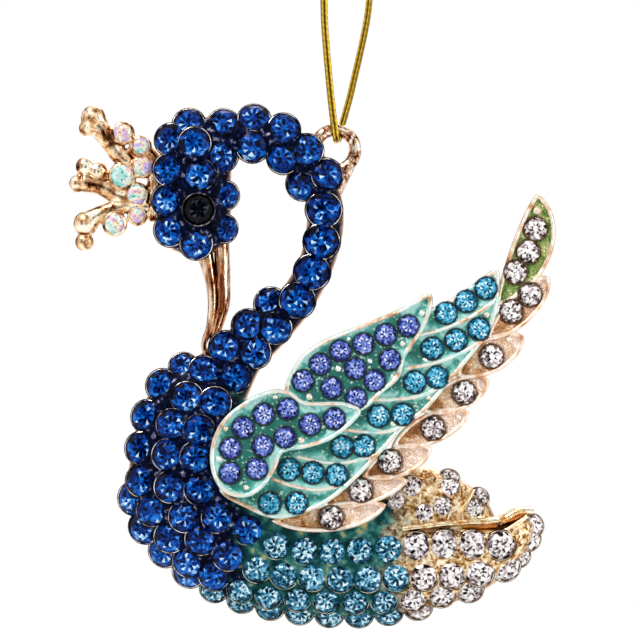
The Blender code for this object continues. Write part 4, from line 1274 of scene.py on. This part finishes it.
enamelled = [Plate(AQUA_OUTLINE, AQUA_FIELD, AQUA_THICKNESS, AQUA_RIDGES, AQUA_BEADS, aqua_seats),
             Plate(SECOND_COVERT, SECOND_FIELD, COVERT_THICKNESS, (), SECOND_BEADS, lilac_seats),
             Plate(FIRST_COVERT, FIRST_FIELD, ROOT_THICKNESS, (), FIRST_BEADS, lilac_seats)]
plates = join_pieces("enamelled_wing", [p.mesh("plate") for p in enamelled])
feathers = []
for index, (root, tip, upper_bow, lower_bow) in enumerate(FLIGHT_FEATHERS):
    outline = feather_edge(root, tip, -lower_bow) + feather_edge(root, tip, upper_bow)[-2:0:-1]
    relief = Plate(outline, FLIGHT_FIELD + FLIGHT_STEP * index, FLIGHT_THICKNESS, (), FEATHER_BEADS,
                   clear_seats, per_span=1)
    feathers.append(mark_length(relief.mesh("feather"), root, tip, float(index == 0)))
feathers = join_pieces("flight_feathers", feathers)
print("faces in the plates:", len(plates.data.polygons), "in the feathers:", len(feathers.data.polygons))

# %% [markdown]
# ## Enamel and feather gold
# Enamel is glass melted into a recess: it looks darker where it is deep and lighter where metal shines
# through near a rim, so its colour follows the stored distance to the nearest rim. The flight feathers
# carry no enamel but the first, which has a green wash beside its stones.


# %% Wing finishes
def enamel():
    """Teal glaze, darker with depth, with painted shade beside the stones, painted glints, and warm ivory on
    the rims.
    """
    paint = Finish("teal enamel and ivory rims", roughness=0.22, coat=0.18, specular=0.12)
    drift = paint.span(paint.noise(0.45, detail=4.0, distortion=0.8), 0.3, 0.7, -0.9, 0.8)
    depth = paint.span(paint.maths("ADD", paint.attribute("near"), drift), 0.0, 1.8)
    glaze = paint.ramp(depth, [(0.0, "a8ddd6"), (0.2, "5fb0a6"), (0.45, "3a877c"), (0.8, "2b6c62")])
    # Painted shade beside the stones.
    beside = paint.span(paint.attribute("stone_near"), 0.0, 0.6)
    painted_shade_beside_stones = paint.ramp(beside, [(0.0, "1c4a4e"), (0.25, "a8c4be"), (0.6, "ffffff")])
    glaze = paint.mix(1.0, glaze, painted_shade_beside_stones, "MULTIPLY")
    # Painted glints: small light specks in the glaze.
    painted_glints = paint.span(paint.noise(2.4, detail=2.0), 0.58, 0.68, 0.0, 0.7)
    glaze = paint.mix(painted_glints, glaze, "d4eee0")
    ivory = paint.ramp(paint.noise(0.45, detail=4.0), [
        (0.34, "a8dcd4"), (0.44, "e4f2ea"), (0.54, "f6e6d4"), (0.62, "e4b492"), (0.7, "a06c48")])
    paint.paint(paint.mix(paint.span(paint.attribute("rim"), 0.35, 0.75), glaze, ivory))
    paint.feed("Metallic", paint.span(paint.attribute("rim"), 0.4, 0.8, 0.0, 0.55))
    paint.bump(paint.noise(1.6), 0.06, 0.5)
    return paint


def feather_gold():
    """Gold that pales from root to tip, granulated in its fields, with painted shade beside its stones and a
    green wash where it is marked.
    """
    gold = Finish("champagne feather gold", roughness=0.28, metallic=0.5, coat=0.1)
    drift = gold.noise(0.6, detail=4.0, distortion=0.8)
    share = gold.maths("ADD", gold.attribute("length"), gold.span(drift, 0.3, 0.7, -0.35, 0.35))
    field = gold.ramp(share, [(0.05, "9a6030"), (0.28, "d09c68"), (0.5, "ecc8a8"), (0.75, "fbe4d4")])
    green = gold.ramp(drift, [(0.35, "4c7c34"), (0.55, "98ac60"), (0.7, "e0d8a8")])
    field = gold.mix(gold.attribute("wash"), field, green)
    # Painted shade beside the stones.
    beside = gold.span(gold.attribute("stone_near"), 0.0, 0.7)
    painted_shade_beside_stones = gold.ramp(beside, [(0.0, "7a5a40"), (0.25, "dcc4b0"), (0.6, "ffffff")])
    field = gold.mix(1.0, field, painted_shade_beside_stones, "MULTIPLY")
    rim = gold.ramp(gold.noise(0.5), [(0.36, "e8c8ac"), (0.48, "fff2e6"), (0.6, "e8b890"), (0.7, "a86c40")])
    gold.paint(gold.mix(gold.span(gold.attribute("rim"), 0.3, 0.7), field, rim))
    grains = gold.voronoi(1.9, randomness=0.6)["Distance"]
    rings = gold.maths("SINE", gold.maths("MULTIPLY", grains, 11.0))
    flat = gold.span(gold.attribute("rim"), 0.0, 0.3, 1.0, 0.0)
    gold.bump(gold.maths("MULTIPLY", rings, flat), 0.07, 0.9)
    return gold


enamel_finish = enamel()
feather_finish = feather_gold()

# %% [markdown]
# ## Crown, beak, ring and tail rims
# These are bare plated metal. The crown's prongs end in lumpy balls. A voxel remesh melts bars and balls
# into one skin, as the wax model was, and a little smoothing takes the steps away.

# %% Crown, beak and ring
BALL_STEPS = 4
BALL_FLATTENING = 0.9
CROWN_SWELL = 0.12
CROWN_VOXEL, CROWN_SOFTENING = 0.14, 4
RING_VOXEL, RING_SOFTENING = 0.13, 3
COLLET_INNER, COLLET_WALL, COLLET_RISE = 0.6, 0.32, 0.15
CUP_OVERLAP, CUP_WALL, CUP_RISE = 0.02, 0.2, 0.3
BEAK_EDGE = 0.0
BEAK_STEPS = 8
TAIL_EDGE, TAIL_FRONT, GROOVE_DEPTH = -3.6, -4.8, 0.3
BARE_METAL_ANGLE = 50
RING_ROOT = [(1.9, -2.1, 0.6), (1, -3.7, 0.7), (0.3, -5.6, 0.5)]
UPPER_MANDIBLE = [(-16.4, -12.4, 1.1), (-15.6, -16, 0.75), (-15.3, -19, 0.62), (-15.6, -22, 0.55),
                  (-16.4, -24.3, 0.38), (-15.9, -26.2, 0.3)]
LOWER_MANDIBLE = [(-14.2, -11.6, 1.0), (-14.0, -16, 0.95), (-13.95, -19, 0.85), (-14.5, -21.5, 0.7),
                  (-15.3, -24.2, 0.5)]
CROWN_BAND = [(-25.4, 0.9, 0.8), (-22.8, -1.2, 0.9), (-22.4, -5, 0.9), (-22.4, -9, 0.7)]
CROWN_PRONGS = [[(-30.1, 3.7, 1.35), (-28.4, 1.3, 1.05), (-26.7, -0.9, 1.05), (-24.8, -2.6, 0.9)],
                [(-31.5, -4.1, 1.0), (-29.5, -4.4, 1.05), (-27, -5.8, 0.95), (-24.4, -6.4, 0.9)],
                [(-31, -8.9, 1.1), (-28.4, -7.6, 0.85), (-26, -7, 0.85), (-23.2, -7.2, 0.8)]]
CROWN_BALLS = [(-30.2, 4.0, 1.45), (-31.0, 2.7, 0.9), (-31.2, -2.1, 1.1), (-29.6, -2.7, 1.1),
               (-32.1, -4.2, 1.0), (-31.1, -9.2, 1.45), (-31.3, -11.5, 1.05)]
RUMP_RIDGES = [[(15.2, -45.6, 0.3), (16.3, -44.2, 0.28), (17.2, -42.3, 0.25)]]
AMBER_GROOVES = [[(15.9, -46.9, 0.3), (18, -46.95, 0.38), (20.2, -46.85, 0.3)],
                 [(20.8, -46.4, 0.25), (22.3, -45.95, 0.3), (23.6, -45.3, 0.25)]]
TAIL_RIMS = [[(8.4, -47.3, 0.5), (14, -46.6, 0.5), (20.2, -46.2, 0.5), (22.7, -45.1, 0.5),
              (24.7, -45.0, 0.45)],
             [(15.6, -47.5, 0.35), (20.4, -47.6, 0.4), (22.4, -46.7, 0.4), (23.9, -45.6, 0.35)]]


def behind(steps):
    """The level of a back that lies some steps before the body's, so that no two backs share a plane."""
    return BACK - steps * BACK_STEP


def ball(x, z, radius):
    """A slightly flat ball of the crown."""
    bm = bmesh.new()
    bmesh.ops.create_icosphere(bm, subdivisions=BALL_STEPS, radius=radius)
    bmesh.ops.scale(bm, vec=(1, BALL_FLATTENING, 1), verts=bm.verts)
    bmesh.ops.translate(bm, vec=(x, CROWN_FRONT / 3, z), verts=bm.verts)
    return new_piece("ball", bm)


def ring_round(x, z, inner, outer, front, back, sides=32):
    """A raised round wall about a stone that faces the front."""
    rings = []
    middle, half = (inner + outer) / 2, (outer - inner) / 2
    for i in range(sides):
        a = 2 * math.pi * i / sides
        profile = [(inner, back)] + [(middle - half * math.cos(b), front - half * (math.sin(b) - 1))
                                     for b in (math.pi * k / 6 for k in range(7))] + [(outer, back)]
        rings.append([(x + r * math.cos(a), y, z + r * math.sin(a)) for r, y in profile])
    bm = bmesh.new()
    bridge(bm, rings + rings[:1], close_ends=False)
    bmesh.ops.remove_doubles(bm, verts=bm.verts, dist=1e-4)
    return new_piece("wall", bm)


def melt(name, parts, voxel, smoothing):
    """Join parts into one skin by remeshing, then soften it."""
    piece = join_pieces(name, parts)
    remesh = piece.modifiers.new("melt", "REMESH")
    remesh.mode = "VOXEL"
    remesh.voxel_size = voxel * MM
    soft = piece.modifiers.new("soften", "SMOOTH")
    soft.factor = 0.5
    soft.iterations = smoothing
    bake_modifiers(piece)
    piece.data.shade_smooth()
    return piece


crown_guides = [[(x, z, half + CROWN_SWELL) for x, z, half in guide]
                for guide in CROWN_PRONGS + [CROWN_BAND]]
crown_parts = [bar("prong", guide, SIDE_EDGE, CROWN_FRONT, behind(4)) for guide in crown_guides]
crown_parts += [ball(x, z, radius + CROWN_SWELL) for x, z, radius in CROWN_BALLS]
crown_parts += [ring_round(place.x, place.z, radius * COLLET_INNER, radius + COLLET_WALL,
                           CROWN_FRONT - COLLET_RISE, 0.0) for place, _, radius in crown_seats]
crown = melt("crown_metal", crown_parts, CROWN_VOXEL, CROWN_SOFTENING)

ring_path = [Vector((ring_middle * math.cos(a), 0, ring_middle * math.sin(a)))
             for a in (2 * math.pi * i / 64 for i in range(65))]
ring_parts = [tube("ring", ring_path, RING_WIRE / 2, sides=20),
              bar("ring_root", RING_ROOT, SIDE_EDGE, BEAK_FRONT, behind(5))]
ring = melt("hanging_ring", ring_parts, RING_VOXEL, RING_SOFTENING)
beak = join_pieces("beak", [
    bar("mandible", guide, BEAK_EDGE, BEAK_FRONT, behind(3), per_span=BEAK_STEPS, groove=groove)
    for guide, groove in ((UPPER_MANDIBLE, (0.25, 0.35, 0.16)), (LOWER_MANDIBLE, (-0.15, 0.5, 0.2)))])
tail_rims = join_pieces("tail_rims", [bar("rim", guide, TAIL_EDGE, TAIL_FRONT, behind(6))
                                      for guide in TAIL_RIMS + RUMP_RIDGES])
amber_grooves = join_pieces("amber_grooves", [
    bar("groove", guide, TAIL_EDGE, TAIL_FRONT + GROOVE_DEPTH, 0.0) for guide in AMBER_GROOVES])
eye_place, _, eye_radius = eye_seats[0]
eye_cup = ring_round(eye_place.x, eye_place.z, eye_radius - CUP_OVERLAP, eye_radius + CUP_WALL,
                     eye_place.y - CUP_RISE, 0.0, 48)
eye_cup.name = "eye_cup"
for piece in (beak, tail_rims, amber_grooves):
    shade(piece, BARE_METAL_ANGLE)
print("crown faces:", len(crown.data.polygons), "ring faces:", len(ring.data.polygons))

# %% [markdown]
# ## Rose gold
# Plated rose gold runs with noise from painted cream highlights through rose to dark brown, partly tarnish
# and partly painted dark reflection. Long noise along the piece makes streaks, and a finer one dents the
# casting.
# On the body the wash changes from blue to green to bare gold along X, in metres as the material reads them,
# and every back is plain metal.


# %% Bare metal finishes
SIDE_START, SIDE_FADE = -0.45, 0.25
BORDER_DRIFT = 0.0015
WAIST = -0.030
GREEN_START = (-0.0125, -0.0105)
GOLD_START = (0.006, 0.010)
BACK_NORMAL = 0.3


def rose_gold(name, scale, stops, dents=0.12):
    """Streaked metal; the scale may differ along each axis, and dents is their depth in millimetres."""
    metal = Finish(name, roughness=0.2, metallic=1.0)
    metal.paint(metal.ramp(metal.noise(scale, detail=5.0, distortion=1.2), stops))
    metal.bump(metal.noise(1.1, distortion=0.5), dents, 0.8)
    return metal


# From the crown to the tail rims, each ramp runs from dark, partly tarnish and partly painted dark
# reflection, to painted cream highlights.
crown_gold = rose_gold("crown rose gold", 0.6, [
    (0.32, "2a120a"), (0.39, "8e5a34"), (0.47, "d9a878"), (0.56, "f6dfbc"), (0.66, "fff8ea")], dents=0.1)
beak_gold = rose_gold("beak rose gold", (1.6, 0.8, 0.28), [
    (0.32, "4a2416"), (0.42, "b07a58"), (0.52, "e6bd9a"), (0.64, "fbead4")])
ring_gold = rose_gold("ring rose gold", 0.9, [
    (0.38, "3a1c10"), (0.45, "9a6848"), (0.53, "e2bc9c"), (0.6, "fff4e6")])
tail_gold = rose_gold("tail champagne gold", 0.8, [
    (0.3, "b06a2a"), (0.4, "dcae74"), (0.55, "f4e2bc"), (0.7, "fff8ea")])
cup_metal = rose_gold("eye cup metal", 0.8, [(0.4, "10131c"), (0.55, "4a4650"), (0.7, "b8aca4")])
back_gold = rose_gold("cast back rose gold", 0.2, [(0.3, "c89072"), (0.5, "d9a486"), (0.7, "e6b89c")],
                      dents=0.03)
amber = Finish("amber lacquer", roughness=0.12, metallic=0.6, coat=1.0, base="c8780c")


def mark_sides(piece):
    """Store how far each point faces sideways or back, where no lacquer was brushed on."""
    normals = rows_of(piece.data.vertices, "normal")
    store(piece, "side", np.clip((normals[:, 1] - SIDE_START) / SIDE_FADE, 0, 1))


def body_metal():
    """Dark blue wash between the blue stones, green enamel on the belly, and bare gold on the tail."""
    metal = Finish("body metal and enamel", roughness=0.35, specular=0.03)
    here = metal.node("SeparateXYZ", {0: metal.node("TexCoord").outputs["Object"]}).outputs
    drift = metal.span(metal.noise(0.5), 0.3, 0.7, -BORDER_DRIFT, BORDER_DRIFT)
    across = metal.maths("ADD", here["X"], drift)
    low = metal.maths("LESS_THAN", here["Z"], WAIST)
    blue = metal.ramp(metal.noise(1.4), [
        (0.4, "02040e"), (0.58, "081034"), (0.68, "6c7088"), (0.76, "e0d6c8")])
    green = metal.ramp(metal.noise(0.7), [
        (0.3, "062624"), (0.5, "16484a"), (0.62, "3a7a72"), (0.72, "b0a468")])
    gold = metal.ramp(metal.noise(1.6, distortion=0.8), [
        (0.34, "5c3214"), (0.43, "ae7c48"), (0.53, "dfc496"), (0.64, "fff2da")])
    belly = metal.mix(metal.maths("MULTIPLY", metal.span(across, *GREEN_START), low), blue, green)
    front = metal.mix(metal.maths("MULTIPLY", metal.span(across, *GOLD_START), low), belly, gold)
    metal.paint(metal.mix(metal.attribute("side"), front, "e8b492"))
    bare = metal.maths("MAXIMUM", metal.attribute("side"), metal.span(across, *GOLD_START, 0.1, 0.8))
    metal.feed("Metallic", bare)
    metal.bump(metal.noise(1.5), 0.14, 0.8)
    return metal


mark_sides(body)
for piece, finish in ((crown, crown_gold), (beak, beak_gold), (ring, ring_gold), (tail_rims, tail_gold),
                      (eye_cup, cup_metal), (amber_grooves, amber)):
    dress(piece, finish)
for piece, finish in ((body, body_metal()), (plates, enamel_finish), (feathers, feather_finish)):
    dress(piece, finish, back_gold)
    for polygon in piece.data.polygons:
        if polygon.normal.y > BACK_NORMAL:
            polygon.material_index = 1

# %% [markdown]
# ## What rides on what
# Nothing on the ornament moves, so every piece rides on the one body. The fine pieces stand for the
# frame's plainer solids.

# %% Bind the pieces to the frame
casting_pieces = [*set_stones[:3], body, plates, feathers, crown, beak, ring, tail_rims, amber_grooves,
                  eye_cup, *stone_walls]
stands_for = [(piece, ["swan_casting"]) for piece in casting_pieces]
stands_for += zip(set_stones[3:], (lilac_nodes, aqua_nodes, clear_nodes, crown_nodes, eye_nodes))
stands_for += [(cord, ["hanging_cord"]), (knot, ["cord_knot"])]
for piece, nodes in stands_for:
    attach(piece, "root")
    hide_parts(*nodes)
